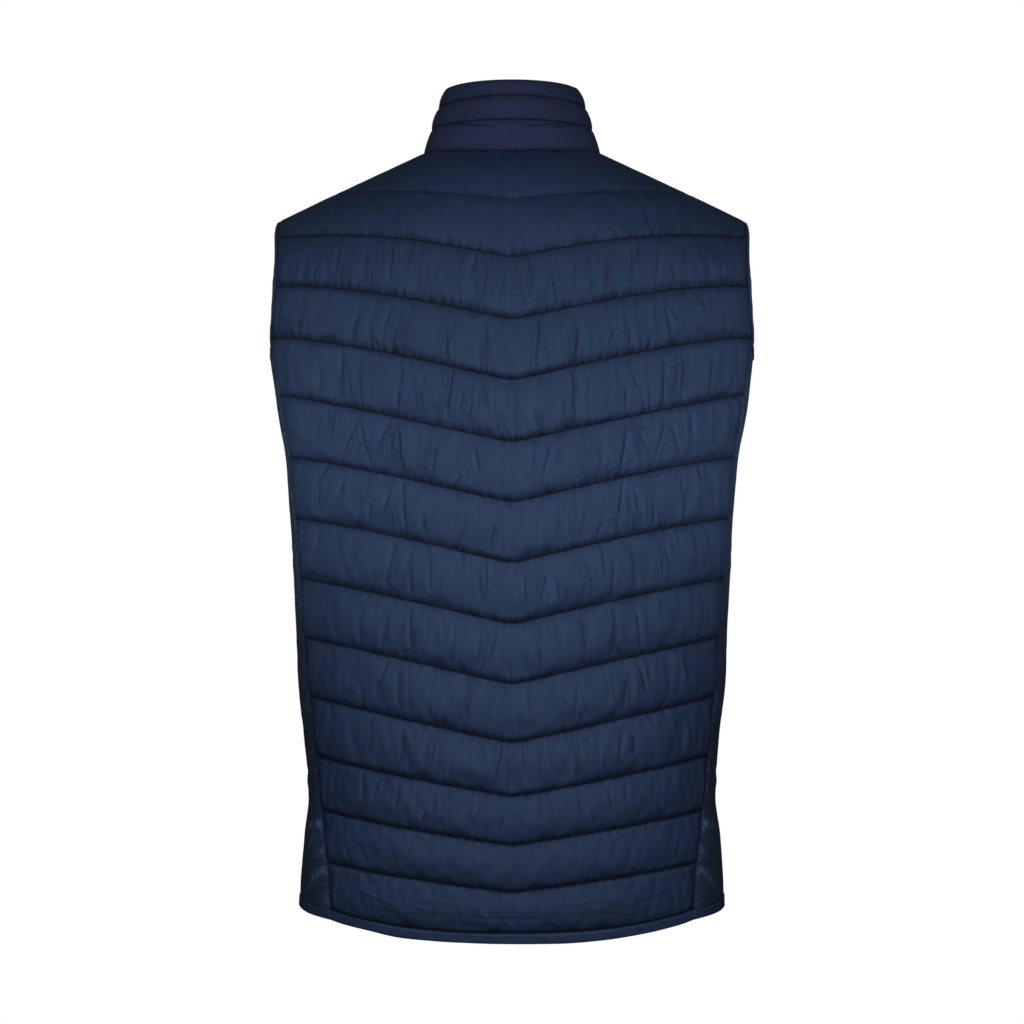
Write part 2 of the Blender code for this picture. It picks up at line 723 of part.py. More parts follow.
def main():
    for obj in list(bpy.data.objects):
        bpy.data.objects.remove(obj)
    half = column_tops(0.0)
    back = panel_sheet(BACK, [-x for x in half[:0:-1]] + half)
    front_left = panel_sheet(FRONT, column_tops(FRONT_EDGE_X))
    back_edge = [row[-1] for row in back.points]
    front_edge = [row[-1] for row in front_left.points]
    side_left = side_sheet(back_edge, front_edge)
    front_neck = front_left.points[-1][: NECK_COLUMNS + 1]
    middle = len(half) - 1
    back_neck = back.points[-1][middle - NECK_COLUMNS : middle + NECK_COLUMNS + 1]
    right_neck = [Vector((-p.x, p.y, p.z)) for p in front_neck]
    collar = collar_sheet(front_neck + back_neck[-2::-1] + right_neck[-2::-1])
    front_right, side_right = mirrored(front_left), mirrored(side_left)
    cloth = {
        "back": (back, CLOTH_NAVY),
        "front_left": (front_left, CLOTH_NAVY),
        "front_right": (front_right, CLOTH_NAVY),
        "side_left": (side_left, SIDE_NAVY),
        "side_right": (side_right, SIDE_NAVY),
    }
    normals = shared_normals([sheet for sheet, colour in cloth.values()] + [collar])
    for name, (sheet, colour) in cloth.items():
        add_wall(name, sheet, normals, colour)
    add_wall("collar", collar, normals, CLOTH_NAVY, COLLAR_GAP)
    left_half = ((front_left, False), (side_left, True), (back, True))
    round_hem = left_half + ((side_right, False), (front_right, True))
    directions = hem_directions(round_hem, normals)
    for name in ("back", "front_left", "front_right", "side_left", "side_right"):
        add_hem("hem_" + name, cloth[name][0], directions, normals)
    row = underarm_row()
    for name, column, front, side in (
        ("armhole_binding_left", -1, front_left, side_left),
        ("armhole_binding_right", 0, front_right, side_right),
    ):
        back_armhole = [points[column] for points in back.points[row:]]
        front_armhole = [points[-1] for points in front.points[row:]]
        add_binding(name, back_armhole, side.points[-1], front_armhole, normals)
    add_zip(front_left, collar, normals)


main()
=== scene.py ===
import math

import bmesh
import bpy
import numpy as np
from mathutils import Matrix, Vector


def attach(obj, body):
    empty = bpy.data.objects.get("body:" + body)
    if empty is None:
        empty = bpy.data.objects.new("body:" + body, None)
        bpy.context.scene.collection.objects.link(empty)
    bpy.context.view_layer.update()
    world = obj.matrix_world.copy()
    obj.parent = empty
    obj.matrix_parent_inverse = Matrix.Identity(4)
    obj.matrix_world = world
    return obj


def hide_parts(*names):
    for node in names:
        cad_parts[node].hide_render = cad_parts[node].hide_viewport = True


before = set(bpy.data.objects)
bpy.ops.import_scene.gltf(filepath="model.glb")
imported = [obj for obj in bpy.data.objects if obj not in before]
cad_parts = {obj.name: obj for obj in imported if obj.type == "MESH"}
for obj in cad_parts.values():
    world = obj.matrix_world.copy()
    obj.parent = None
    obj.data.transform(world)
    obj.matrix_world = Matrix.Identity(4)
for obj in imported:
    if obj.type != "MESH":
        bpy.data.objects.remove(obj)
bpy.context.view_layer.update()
print("frame:", len(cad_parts), "nodes")

# the inside of the cloth, in metres, with the same sizes as the CAD
form = {
    "sections": (  # height, half width, depth of the back, depth of the fronts
        (-0.680, 0.1965, 0.0930, 0.1120),
        (-0.636, 0.1942, 0.0985, 0.1115),
        (-0.600, 0.1915, 0.1020, 0.1105),
        (-0.567, 0.1872, 0.1045, 0.1095),
        (-0.514, 0.1908, 0.1070, 0.1090),
        (-0.460, 0.1960, 0.1095, 0.1090),
        (-0.400, 0.1984, 0.1125, 0.1105),
        (-0.326, 0.2025, 0.1165, 0.1145),
        (-0.250, 0.2085, 0.1195, 0.1190),
        (-0.195, 0.2175, 0.1205, 0.1205),
        (-0.158, 0.2224, 0.1202, 0.1195),
        (-0.145, 0.2250, 0.1198, 0.1186),
        (-0.093, 0.2390, 0.1165, 0.1120),
        (-0.050, 0.2425, 0.1080, 0.0985),
        (-0.010, 0.2430, 0.0920, 0.0880),
        (0.040, 0.2430, 0.0700, 0.0800),
    ),
    "edges": (  # height, half width to the edge of the back, and of a front
        (-0.680, 0.1620, 0.1620),
        (-0.625, 0.1650, 0.1650),
        (-0.577, 0.1708, 0.1708),
        (-0.521, 0.1765, 0.1765),
        (-0.470, 0.1820, 0.1820),
        (-0.418, 0.1872, 0.1872),
        (-0.358, 0.1918, 0.1918),
        (-0.300, 0.1965, 0.1965),
        (-0.250, 0.2015, 0.2015),
        (-0.200, 0.2090, 0.2090),
        (-0.165, 0.2142, 0.2142),
        (-0.145, 0.2180, 0.2170),
        (-0.125, 0.2150, 0.2030),
        (-0.093, 0.2118, 0.1880),
        (-0.060, 0.2122, 0.1925),
        (-0.0315, 0.2145, 0.2145),
    ),
    "squareness": 2.4,
    "neckHalfWidth": 0.0806,
    "neckPoint": 0.0312,
    "neckCurve": 1.55,
    "tipX": 0.2145,
    "slope": 0.4675,  # of the shoulders
    "round": 0.090,  # height over which the panels turn onto the shoulder
    "roundSquareness": 2.2,
    "hemSide": -0.6607,
    "centre": (0.0, 0.0, -0.25),
}

backPanel = {"side": 1, "innerX": 0.0, "depth": 2, "edge": 1, "neck": 0.0298, "hem": -0.6763}
frontPanel = {"side": -1, "innerX": 0.0065, "depth": 3, "edge": 2, "neck": -0.0400, "hem": -0.6660}

quilting = {
    "lines": (  # from the hem up: apex at the centre, rise to the side, flare, loft of the channel below
        (-0.6379, 0.0200, 1.00, 0.0050),
        (-0.5954, 0.0245, 1.00, 0.0062),
        (-0.5516, 0.0300, 1.00, 0.0066),
        (-0.5036, 0.0362, 1.05, 0.0070),
        (-0.4513, 0.0370, 1.15, 0.0070),
        (-0.3978, 0.0372, 1.20, 0.0070),
        (-0.3438, 0.0380, 1.25, 0.0070),
        (-0.2904, 0.0405, 1.15, 0.0070),
        (-0.2371, 0.0445, 1.00, 0.0070),
        (-0.1829, 0.0425, 1.20, 0.0070),
        (-0.1293, 0.0335, 1.45, 0.0066),
        (-0.0746, 0.0240, 2.00, 0.0054),
        (-0.0220, 0.0143, 1.80, 0.0036),
    ),
    "yokeLoft": 0.0022,
    "apexRound": 0.035,
    "rows": (0.0, 0.07, 0.21, 0.40, 0.61, 0.82, 0.93),  # rows of points in one channel
    "underarm": (9, 5),  # channel and row where the side panels stop
    "fullChannel": 0.035,
    "leastYoke": 0.00002,
    "leastReach": 0.006,  # a channel shorter than this is only a seam
    "roundness": 0.8,
    "sag": 0.72,  # below 1 the padding hangs towards the lower stitch line
    "shoulderFade": 0.095,  # it thins out over this distance from the shoulder seam
    "shoulderSoft": 0.0005,  # how softly it meets the line of the shoulder
    "neckRoom": 0.05,  # that line doesn't hold it inside the neck
    "lean": 0.14,  # of the upright folds, away from the centre as they go down
    "leanStart": 0.04,  # they lean fully this far from the centre
    "hemCurve": 2.5,
    "wall": 0.003,
    "stitchDip": 0.0017,  # how far the thread pulls the cloth in
    "slack": (13.6, 2.0, 0.25),  # looser sewing near the yoke, which also fades the painted shade there: channel where it ends, over how many, least
    "seamDip": {"hem": 0.0026, "side": 0.0006, "armhole": 0.0002, "shoulder": -0.0010, "neck": 0.0024},
    "edgeFade": 0.014,  # the padding thins out over this distance from a seam
    "neckColumns": 14,
    "shoulderColumns": 28,
    "crowding": 1.3,  # of the columns towards the side
    "curveSteps": 500,
    "finerRows": 2,
    "finerColumns": 3,
    "channelHeight": 0.052,
}
perChannel = len(quilting["rows"]) * quilting["finerRows"]


def smoothColumn(rows, column):
    heights = np.array([row[0] for row in rows])
    values = np.array([row[column] for row in rows])
    last = len(rows) - 1
    low = np.maximum(np.arange(last + 1) - 1, 0)
    high = np.minimum(np.arange(last + 1) + 1, last)
    slopes = (values[high] - values[low]) / (heights[high] - heights[low])

    def value(height):
        h = np.clip(height, heights[0], heights[-1])
        i = np.clip(np.searchsorted(heights, h, side="right") - 1, 0, last - 1)
        step = heights[i + 1] - heights[i]
        t = (h - heights[i]) / step
        start = (2 * t**3 - 3 * t**2 + 1) * values[i] + (t**3 - 2 * t**2 + t) * step * slopes[i]
        end = (3 * t**2 - 2 * t**3) * values[i + 1] + (t**3 - t**2) * step * slopes[i + 1]
        return start + end

    return value


halfWidth = smoothColumn(form["sections"], 1)


def shoulderHeight(x):
    neck = form["neckHalfWidth"]
    x = np.abs(x)
    straight = form["neckPoint"] - (x - neck) * form["slope"]
    arch = form["neckPoint"] + neck / 2 * (1 - (x / neck) ** 2) * form["slope"]
    return np.where(x >= neck, straight, arch)


def topHeight(panel, x):
    climb = (np.abs(x) / form["neckHalfWidth"]) ** form["neckCurve"]
    neckline = panel["neck"] + (form["neckPoint"] - panel["neck"]) * climb
    return np.where(np.abs(x) >= form["neckHalfWidth"], shoulderHeight(x), neckline)


def onSurface(panel, x, z):
    square, turn = form["squareness"], form["roundSquareness"]
    across = np.minimum(np.abs(x) / halfWidth(z), 1)
    ring = (1 - across**square) ** (1 / square)
    climb = np.clip((z - shoulderHeight(x)) / form["round"] + 1, 0, 1)
    crown = (1 - climb**turn) ** (1 / turn)
    depth = smoothColumn(form["sections"], panel["depth"])(z)
    return np.stack([x, panel["side"] * depth * ring * crown, z], axis=-1)


def columnShares(panel):
    # a column lands on the corner where the neckline meets the shoulder
    corner = (form["neckHalfWidth"] - panel["innerX"]) / (form["tipX"] - panel["innerX"])
    neck = np.linspace(0, corner, quilting["neckColumns"] + 1)
    turn = 1 - (1 - np.linspace(0, 1, quilting["shoulderColumns"] + 1)) ** quilting["crowding"]
    return np.concatenate([neck[:-1], corner + (1 - corner) * turn])


def runAlong(points):
    steps = np.linalg.norm(np.diff(points, axis=0), axis=1)
    return np.concatenate([[0], np.cumsum(steps)])


def pick(places, run, values):
    # what a line has at these places along it
    return np.stack([np.interp(places, run, values[:, k]) for k in range(3)], axis=-1)


def layOut(panel, shares):
    # rows follow the stitch lines, columns run from the hem to the neckline or shoulder seam
    q, rows = quilting, np.array(quilting["rows"])
    edge = smoothColumn(form["edges"], panel["edge"])
    lofts = np.array([line[3] for line in q["lines"]] + [q["yokeLoft"]])
    r = q["apexRound"]
    columns = []
    for share in shares:
        size, hand = abs(share), math.copysign(1, share)
        top = float(topHeight(panel, panel["innerX"] + size * (form["tipX"] - panel["innerX"])))
        soft = (math.hypot(size, r) - r) / (math.hypot(1, r) - r)
        levels = [panel["hem"] + (form["hemSide"] - panel["hem"]) * size ** q["hemCurve"]]
        for apex, rise, flare, loft in q["lines"]:
            levels.append(min(apex + rise * (1 - (1 - soft) ** flare), top - q["leastYoke"]))
        levels.append(top)
        z = levels[0] + (top - levels[0]) * np.sin(np.pi / 2 * np.linspace(0, 1, q["curveSteps"]))
        x = hand * (panel["innerX"] + size * (edge(z) - panel["innerX"]))
        curve = onSurface(panel, x, z)
        run = runAlong(curve)
        marks = np.interp(levels, z, run)
        reach = np.diff(marks)
        along = np.append((marks[:-1, None] + rows * reach[:, None]).ravel(), marks[-1])
        point = pick(along, run, curve)
        phase = np.append(np.tile(rows, len(reach)), 0)
        channel = np.append(np.repeat(np.arange(len(reach)), len(rows)), len(reach))
        reach = np.append(np.repeat(reach, len(rows)), reach[-1])
        loft = np.append(np.repeat(lofts, len(rows)), 0) * np.minimum(reach / q["fullChannel"], 1)
        gap = np.where(reach < q["leastReach"], marks[-1] - along, np.minimum(phase, 1 - phase) * reach)
        columns.append((point, along, channel + phase, gap, reach, loft))
    names = ("points", "along", "course", "gap", "reach", "loft")
    laid = {name: np.stack([column[k] for column in columns], axis=1) for k, name in enumerate(names)}
    across = runAlong(laid["points"][len(laid["points"]) // 2])
    if panel["innerX"] == 0:
        across = across - across[-1] / 2
    laid["across"] = np.tile(across, (len(laid["points"]), 1))
    return laid


def outward(points):
    normal = np.cross(np.gradient(points, axis=1), np.gradient(points, axis=0))
    normal /= np.maximum(np.linalg.norm(normal, axis=-1, keepdims=True), 1e-12)
    facing = np.sum(normal * (points - np.array(form["centre"])))
    return normal if facing > 0 else -normal


def unit(vectors):
    return vectors / np.maximum(np.linalg.norm(vectors, axis=-1, keepdims=True), 1e-12)


def smoothStep(t):
    t = np.clip(t, 0, 1)
    return t * t * (3 - 2 * t)


def finer(values, factor, axis, straight=False):
    # smooth curves through the points, with this many steps for each one
    values = np.moveaxis(values, axis, 0)
    ends = np.concatenate([2 * values[:1] - values[1:2], values, 2 * values[-1:] - values[-2:-1]])
    a, b, c, d = ends[:-3], ends[1:-2], ends[2:-1], ends[3:]
    parts = []
    for step in range(factor):
        t = step / factor
        if straight:
            parts.append(b + (c - b) * t)
        else:
            bend = (2 * a - 5 * b + 4 * c - d) * t**2 + (3 * b - a - 3 * c + d) * t**3
            parts.append(b + (c - a) * t / 2 + bend / 2)
    joined = np.stack(parts, axis=1).reshape(-1, *values.shape[1:])
    return np.moveaxis(np.concatenate([joined, values[-1:]]), 0, axis)


def refined(values, straight=False):
    return finer(finer(values, quilting["finerRows"], 0, straight), quilting["finerColumns"], 1, straight)


def softNoise(u, v, seed):
    # smooth random hills, one unit apart each way, from -1 to 1
    size = 128
    hills = np.random.default_rng(seed).uniform(-1, 1, (size, size))
    i, j = np.floor(u).astype(int), np.floor(v).astype(int)
    s, t = smoothStep(u - i), smoothStep(v - j)
    low = hills[i % size, j % size] * (1 - s) + hills[(i + 1) % size, j % size] * s
    high = hills[i % size, (j + 1) % size] * (1 - s) + hills[(i + 1) % size, (j + 1) % size] * s
    return low * (1 - t) + high * t


def gridPiece(name, points, material, attributes=None, closed=False):
    # a grid whose rows and columns are set at these points, with open ends filled where it wraps round
    rows, columns = points.shape[:2]
    bm = bmesh.new()
    bmesh.ops.create_grid(bm, x_segments=columns - 1, y_segments=rows - 1, size=0.5)
    places = np.array([v.co[:2] for v in bm.verts]) + 0.5
    i = np.rint(places[:, 1] * (rows - 1)).astype(int)
    j = np.rint(places[:, 0] * (columns - 1)).astype(int)
    layers = {key: bm.verts.layers.float.new(key) for key in attributes or {}}
    for v, row, column in zip(bm.verts, i, j):
        v.co = points[row, column]
        for key, layer in layers.items():
            v[layer] = attributes[key][row, column]
    if closed:
        bmesh.ops.remove_doubles(bm, verts=bm.verts, dist=1e-6)
        ends = [edge for edge in bm.edges if edge.is_boundary]
        if ends:
            bmesh.ops.holes_fill(bm, edges=ends, sides=0)
        bmesh.ops.recalc_face_normals(bm, faces=bm.faces)
    else:
        bm.normal_update()
        middle = Vector(form["centre"])
        facing = sum(face.normal.dot(face.calc_center_median() - middle) for face in bm.faces)
        if facing < 0:
            bmesh.ops.reverse_faces(bm, faces=bm.faces)
    return meshPiece(name, bm, material)


def meshPiece(name, bm, material):
    mesh = bpy.data.meshes.new(name)
    bm.to_mesh(mesh)
    bm.free()
    return placed(name, mesh, material)


def placed(name, mesh, material):
    mesh.shade_smooth()
    if material:
        mesh.materials.append(material)
    piece = bpy.data.objects.new(name, mesh)
    bpy.context.scene.collection.objects.link(piece)
    return piece


def scatter(name, bm, frames, material):
    # one joined mesh of copies of a small shape, each set by its own 4 x 4 frame
    bmesh.ops.triangulate(bm, faces=bm.faces)
    corners = np.array([(*v.co, 1.0) for v in bm.verts])
    faces = np.array([[v.index for v in face.verts] for face in bm.faces])
    bm.free()
    places = np.einsum("nij,kj->nki", frames, corners)[..., :3].reshape(-1, 3)
    steps = np.arange(len(frames))[:, None, None] * len(corners)
    mesh = bpy.data.meshes.new(name)
    mesh.from_pydata(places.tolist(), [], (faces + steps).reshape(-1, 3).tolist())
    return placed(name, mesh, material)


def framesAlong(points, tangents, normals):
    frames = np.zeros((len(points), 4, 4))
    x = unit(tangents)
    z = unit(normals - x * np.sum(normals * x, axis=-1, keepdims=True))
    frames[:, :3, 0], frames[:, :3, 1], frames[:, :3, 2] = x, np.cross(z, x), z
    frames[:, :3, 3], frames[:, 3, 3] = points, 1
    return frames


def thicken(piece, wall):
    thick = piece.modifiers.new("wall", "SOLIDIFY")
    thick.thickness = wall
    thick.offset = -1.0


def roundEdges(bm, edges, size, steps):
    bmesh.ops.bevel(bm, geom=edges, offset=size, segments=steps, profile=0.5, affect="EDGES", material=-1)


def readAttribute(mesh, name):
    values = np.zeros(len(mesh.vertices), np.float32)
    mesh.attributes[name].data.foreach_get("value", values)
    return values


def readPoints(mesh):
    points = np.zeros(len(mesh.vertices) * 3, np.float32)
    mesh.vertices.foreach_get("co", points)
    return points.reshape(-1, 3).astype(float)


# shader maths as expressions: a wrapped socket adds the Math nodes
class Link:
    def __init__(self, tree, socket):
        self.tree, self.socket = tree, socket

    def maths(self, operation, first, second):
        node = self.tree.nodes.new("ShaderNodeMath")
        node.operation = operation
        plug(self.tree, node.inputs[0], first)
        plug(self.tree, node.inputs[1], second)
        return Link(self.tree, node.outputs[0])

    def __add__(self, other):
        return self.maths("ADD", self, other)

    def __sub__(self, other):
        return self.maths("SUBTRACT", self, other)

    def __rsub__(self, other):
        return self.maths("SUBTRACT", other, self)

    def __mul__(self, other):
        return self.maths("MULTIPLY", self, other)

    def __truediv__(self, other):
        return self.maths("DIVIDE", self, other)

    def clamped(self):
        return self.maths("MINIMUM", self.maths("MAXIMUM", self, 0.0), 1.0)

    def distance(self, other):
        return self.maths("ABSOLUTE", self - other, 0.0)

    def fraction(self):
        return self.maths("FRACT", self, 0.0)


def plug(tree, socket, value):
    if isinstance(value, Link):
        tree.links.new(value.socket, socket)
    else:
        socket.default_value = value


class Finish:
    def __init__(self, name, colour, roughness):
        self.material = bpy.data.materials.new(name)
        self.material.use_nodes = True
        self.tree = self.material.node_tree
        self.shader = self.tree.nodes["Principled BSDF"]
        self.set("Base Color", (*colour, 1.0))
        self.set("Roughness", roughness)

    def add(self, kind, settings=None, values=None, out=0):
        node = self.tree.nodes.new(kind)
        for key, value in (settings or {}).items():
            setattr(node, key, value)
        for key, value in (values or {}).items():
            plug(self.tree, node.inputs[key], value)
        return Link(self.tree, node.outputs[out])

    def set(self, socket, value):
        plug(self.tree, self.shader.inputs[socket], value)

    def place(self):
        return self.add("ShaderNodeTexCoord", out="Object")

    def attribute(self, name):
        return self.add("ShaderNodeAttribute", {"attribute_name": name}, out="Fac")

    def vector(self, x, y, z=0.0):
        return self.add("ShaderNodeCombineXYZ", values={"X": x, "Y": y, "Z": z})

    def noise(self, vector, scale=1.0, detail=2.0, roughness=0.5):
        values = {"Vector": vector, "Scale": scale, "Detail": detail, "Roughness": roughness}
        return self.add("ShaderNodeTexNoise", values=values)

    def mix(self, factor, first, second):
        def colour(value):
            return value if isinstance(value, Link) else (*value, 1.0)

        values = {0: factor, 6: colour(first), 7: colour(second)}
        return self.add("ShaderNodeMix", {"data_type": "RGBA"}, values, out=2)

    def bump(self, height, strength, distance):
        values = {"Height": height, "Strength": strength, "Distance": distance}
        self.set("Normal", self.add("ShaderNodeBump", values=values))


def times(colour, factor):
    return tuple(factor * c for c in colour)


shellFinish = {
    # the darkest tone, for the thread lines and the painted shade
    "dark": (0.0030, 0.0050, 0.0140),
    "panel": {
        "colour": (0.0100, 0.0205, 0.0540),
        "light": (0.0160, 0.0310, 0.0750),
        "shine": (0.47, 0.63, 1.0),
        # weight of the painted shade in the puckers along the stitch lines
        "puckers": 0.75,
    },
    "collar": {
        "colour": (0.0122, 0.0174, 0.0500),
        "light": (0.0185, 0.0258, 0.0700),
        "shine": (0.50, 0.60, 1.0),
        # weight of the painted shade in the puckers along the stitch lines
        "puckers": 0.25,
    },
    "specular": 0.5,
    "thread": 0.0015,  # half width of the dark stitch line
    "shade": 0.009,  # how far the painted shade reaches beside it
    "puckerShade": (0.0012, 0.010),  # shortest length of the painted shade of the puckers that leave it, and how much longer some are
    "combReach": 0.016,
    "crease": 0.0016,  # half width of the painted shade in a sharp crease
    "roughness": 0.70,
    "bump": (0.5, 0.0010),  # strength and distance
    # noises: scale across and along the channel, slice, detail
    "patches": (11, 14, 5.0, 2),
    "folds": (62, 16, 11.0, 2),
    "streaks": (170, 24, 0.0, 3),
    "hairlineCreases": (120, 16, 8.0, 2),
    "weave": (2600, 2600, 0.0, 1),
    "comb": (230, 12, 2.0, 2),
}


def makeShellNylon(name, kind):
    s, dyeAndShade = shellFinish, shellFinish[kind]
    f = Finish(name, dyeAndShade["colour"], s["roughness"])
    grain, along, course = f.attribute("grain"), f.attribute("along"), f.attribute("course")
    gap, aside, deep = f.attribute("gap"), f.attribute("aside"), f.attribute("deep")

    def pattern(key):
        wide, tall, level, detail = s[key]
        return f.noise(f.vector(grain * wide, along * tall, level), detail=detail)

    # low is 1 at the bottom of a channel and 0 at its top: the painted shade is stronger towards the bottoms
    low = 1 - course.fraction()
    # tighter sewing below the yoke: the stitch line and the painted shade beside it fade towards the yoke
    last, over, least = quilting["slack"]
    firm = ((last - course) / over).clamped() * (1 - least) + least
    # fewer folds at the hem, yoke and collar
    busy = (course * 0.25 + 0.12).clamped() * ((15.5 - course) / 3.5).clamped()
    patches, folds, weave = pattern("patches"), pattern("folds"), pattern("weave")
    streaks = (pattern("streaks") - 0.5) * busy * (patches * 3.0 - 0.8).clamped()
    # thin creases: dark lines of painted shade, with a slight hollow in the bump
    hairlineCreases = (1 - pattern("hairlineCreases").distance(0.5) * 15).clamped() * busy * (folds * 4.0 - 1.7).clamped()
    comb = ((pattern("comb") - 0.44) * 5.0).clamped()
    near = (1 - gap / s["combReach"]).clamped()
    shortest, longer = s["puckerShade"]
    # painted shade beside the stitch lines, used at the bottom of each channel
    shade = (1 - gap / s["shade"]).clamped() * firm
    # painted shade of the short puckers that leave the stitch lines, stronger at the bottom of a channel
    puckerShade = (1 - gap / (comb * longer + shortest)).clamped() * (low * 0.6 + 0.4) * firm
    # painted shade in the nearest sharp crease, and a painted highlight on one side of it
    crease = (1 - aside.distance(0.0) / s["crease"]).clamped() * deep
    creaseHighlight = (1 - aside.distance(2 * s["crease"]) / (1.8 * s["crease"])).clamped() * deep
    stitch = (1 - gap / s["thread"]).clamped() * firm
    # tone: random patches, painted light and shade that follow the soft folds and striations of the bump, and
    # the painted crease highlight
    tone = (patches * 0.4 + (folds - 0.5) * busy * 0.9 + streaks * 1.7 + creaseHighlight + 0.3).clamped()
    # dark: painted shade in the creases, at the channel bottoms beside the stitch lines, in the puckers and
    # in the thin creases, with the dark thread line
    dark = crease * 0.9 + shade * shade * low * 0.3 + stitch * 0.8 + puckerShade * dyeAndShade["puckers"] + hairlineCreases * 0.40
    f.set("Base Color", f.mix(dark.clamped(), f.mix(tone, dyeAndShade["colour"], dyeAndShade["light"]), s["dark"]))
    f.set("Roughness", patches * 0.08 + dark.clamped() * 0.26 + (s["roughness"] - 0.04))
    f.set("Specular IOR Level", s["specular"])
    f.set("Specular Tint", (*dyeAndShade["shine"], 1.0))
    height = streaks * 1.3 + folds * busy * 0.8 - hairlineCreases * 0.3 - crease * 0.6
    f.bump(height + comb * near * near * 0.8 + weave * 0.03, *s["bump"])
    return f.material


plainFinish = {
    "side": {"colour": (0.0118, 0.0205, 0.0455), "light": (0.0195, 0.0335, 0.0690), "roughness": 0.60},
    "trim": {"colour": (0.0125, 0.0240, 0.0600), "light": (0.0190, 0.0350, 0.0860), "roughness": 0.66},
    "thread": {"colour": (0.0030, 0.0052, 0.0145), "light": (0.0045, 0.0075, 0.0190), "roughness": 0.80},
    "shine": (0.47, 0.63, 1.0),
    "seam": 0.0020,  # half width of the dark line along a side panel's seams
    "gathered": 0.022,  # how far from the seams it has small folds, bumped and with painted highlights
    "bright": {"folds": 1.5, "crimp": 2.0, "glint": 4.5},  # painted highlights on the small folds, the crimp and the crease glints: times the light tone
    "noises": {"cloud": 36.0, "puckers": 230.0, "weave": 2400.0},
    "bump": (0.4, 0.0009),
}


def makePlainCloth(name, kind):
    s = plainFinish[kind]
    f = Finish(name, s["colour"], s["roughness"])
    place = f.place()
    scale = plainFinish["noises"]
    cloud = f.noise(place, scale=scale["cloud"], detail=3)
    puckers = f.noise(place, scale=scale["puckers"], detail=2)
    weave = f.noise(place, scale=scale["weave"], detail=1)
    colour = f.mix(cloud, s["colour"], s["light"])
    height = puckers * 0.6 + weave * 0.1
    if kind == "side":
        bright = {key: times(s["light"], factor) for key, factor in plainFinish["bright"].items()}
        across, along, gap = f.attribute("across"), f.attribute("along"), f.attribute("gap")
        beside = (1 - gap / plainFinish["gathered"]).clamped()
        folds = f.noise(f.vector((across + along) * 120, (across - along) * 40), detail=2)
        folds = ((folds - 0.42) * 3.0).clamped() * beside
        crimp = f.noise(f.vector(across * 110, along * 300, 3.0), detail=2)
        crimp = ((crimp - 0.48) * 7.0).clamped() * beside
        # painted highlights on the small folds and crimp near the seams and the painted glints beside the
        # creases, then the dark seam line
        colour = f.mix(folds, colour, bright["folds"])
        colour = f.mix(crimp * 0.6, colour, bright["crimp"])
        colour = f.mix(f.attribute("glint"), colour, bright["glint"])
        colour = f.mix((1 - gap / plainFinish["seam"]).clamped() * 0.95, colour, shellFinish["dark"])
        height = height + folds * 1.6 + crimp * 1.2
    f.set("Base Color", colour)
    f.set("Roughness", cloud * 0.12 + (s["roughness"] - 0.06))
    f.set("Specular IOR Level", 0.1 if kind == "thread" else shellFinish["specular"])
    f.set("Specular Tint", (*plainFinish["shine"], 1.0))
    f.bump(height, *plainFinish["bump"])
    return f.material


zipFinish = {"tape": (0.0085, 0.0120, 0.0260), "plastic": (0.0070, 0.0090, 0.0190)}


def makeZipTape():
    f = Finish("zip_tape_weave", zipFinish["tape"], 0.75)
    place = f.place()
    ribs = f.add("ShaderNodeTexWave", {"bands_direction": "DIAGONAL"}, {"Vector": place, "Scale": 420.0})
    cloud = f.noise(place, scale=90.0)
    f.set("Base Color", f.mix(ribs * 0.5 + cloud * 0.5, zipFinish["tape"], times(zipFinish["tape"], 1.8)))
    f.bump(ribs, 0.4, 0.0003)
    return f.material


def makeZipPlastic():
    f = Finish("zip_plastic_moulded", zipFinish["plastic"], 0.35)
    place = f.place()
    cloud = f.noise(place, scale=700.0, detail=3)
    f.set("Base Color", f.mix(cloud, zipFinish["plastic"], times(zipFinish["plastic"], 1.7)))
    f.set("Roughness", cloud * 0.2 + 0.27)
    f.bump(cloud, 0.15, 0.0002)
    return f.material


shellNylon = makeShellNylon("shell_nylon", "panel")
collarNylon = makeShellNylon("collar_nylon", "collar")
sideNylon = makePlainCloth("side_nylon", "side")
trimCloth = makePlainCloth("trim_cloth", "trim")
sewingThread = makePlainCloth("sewing_thread", "thread")
tapeWeave = makeZipTape()
zipPlastic = makeZipPlastic()
print("finishes made")

padding = {
    "start": 0.75,  # share of the padding put in before the cloth is blown up
    "ripple": 0.0002,  # uneven start, so that the folds fall unevenly
    "frames": 18,
    "pressure": 3.0,
    "spare": 0.010,  # share of extra cloth between the stitch lines
    "vertexMass": 0.002,
    "stiffness": 6.0,
    "shear": 3.0,
    "bending": 0.03,
    "drag": 2.0,
    "quality": 5,
    "cap": 0.007,  # the furthest that a point may move
}


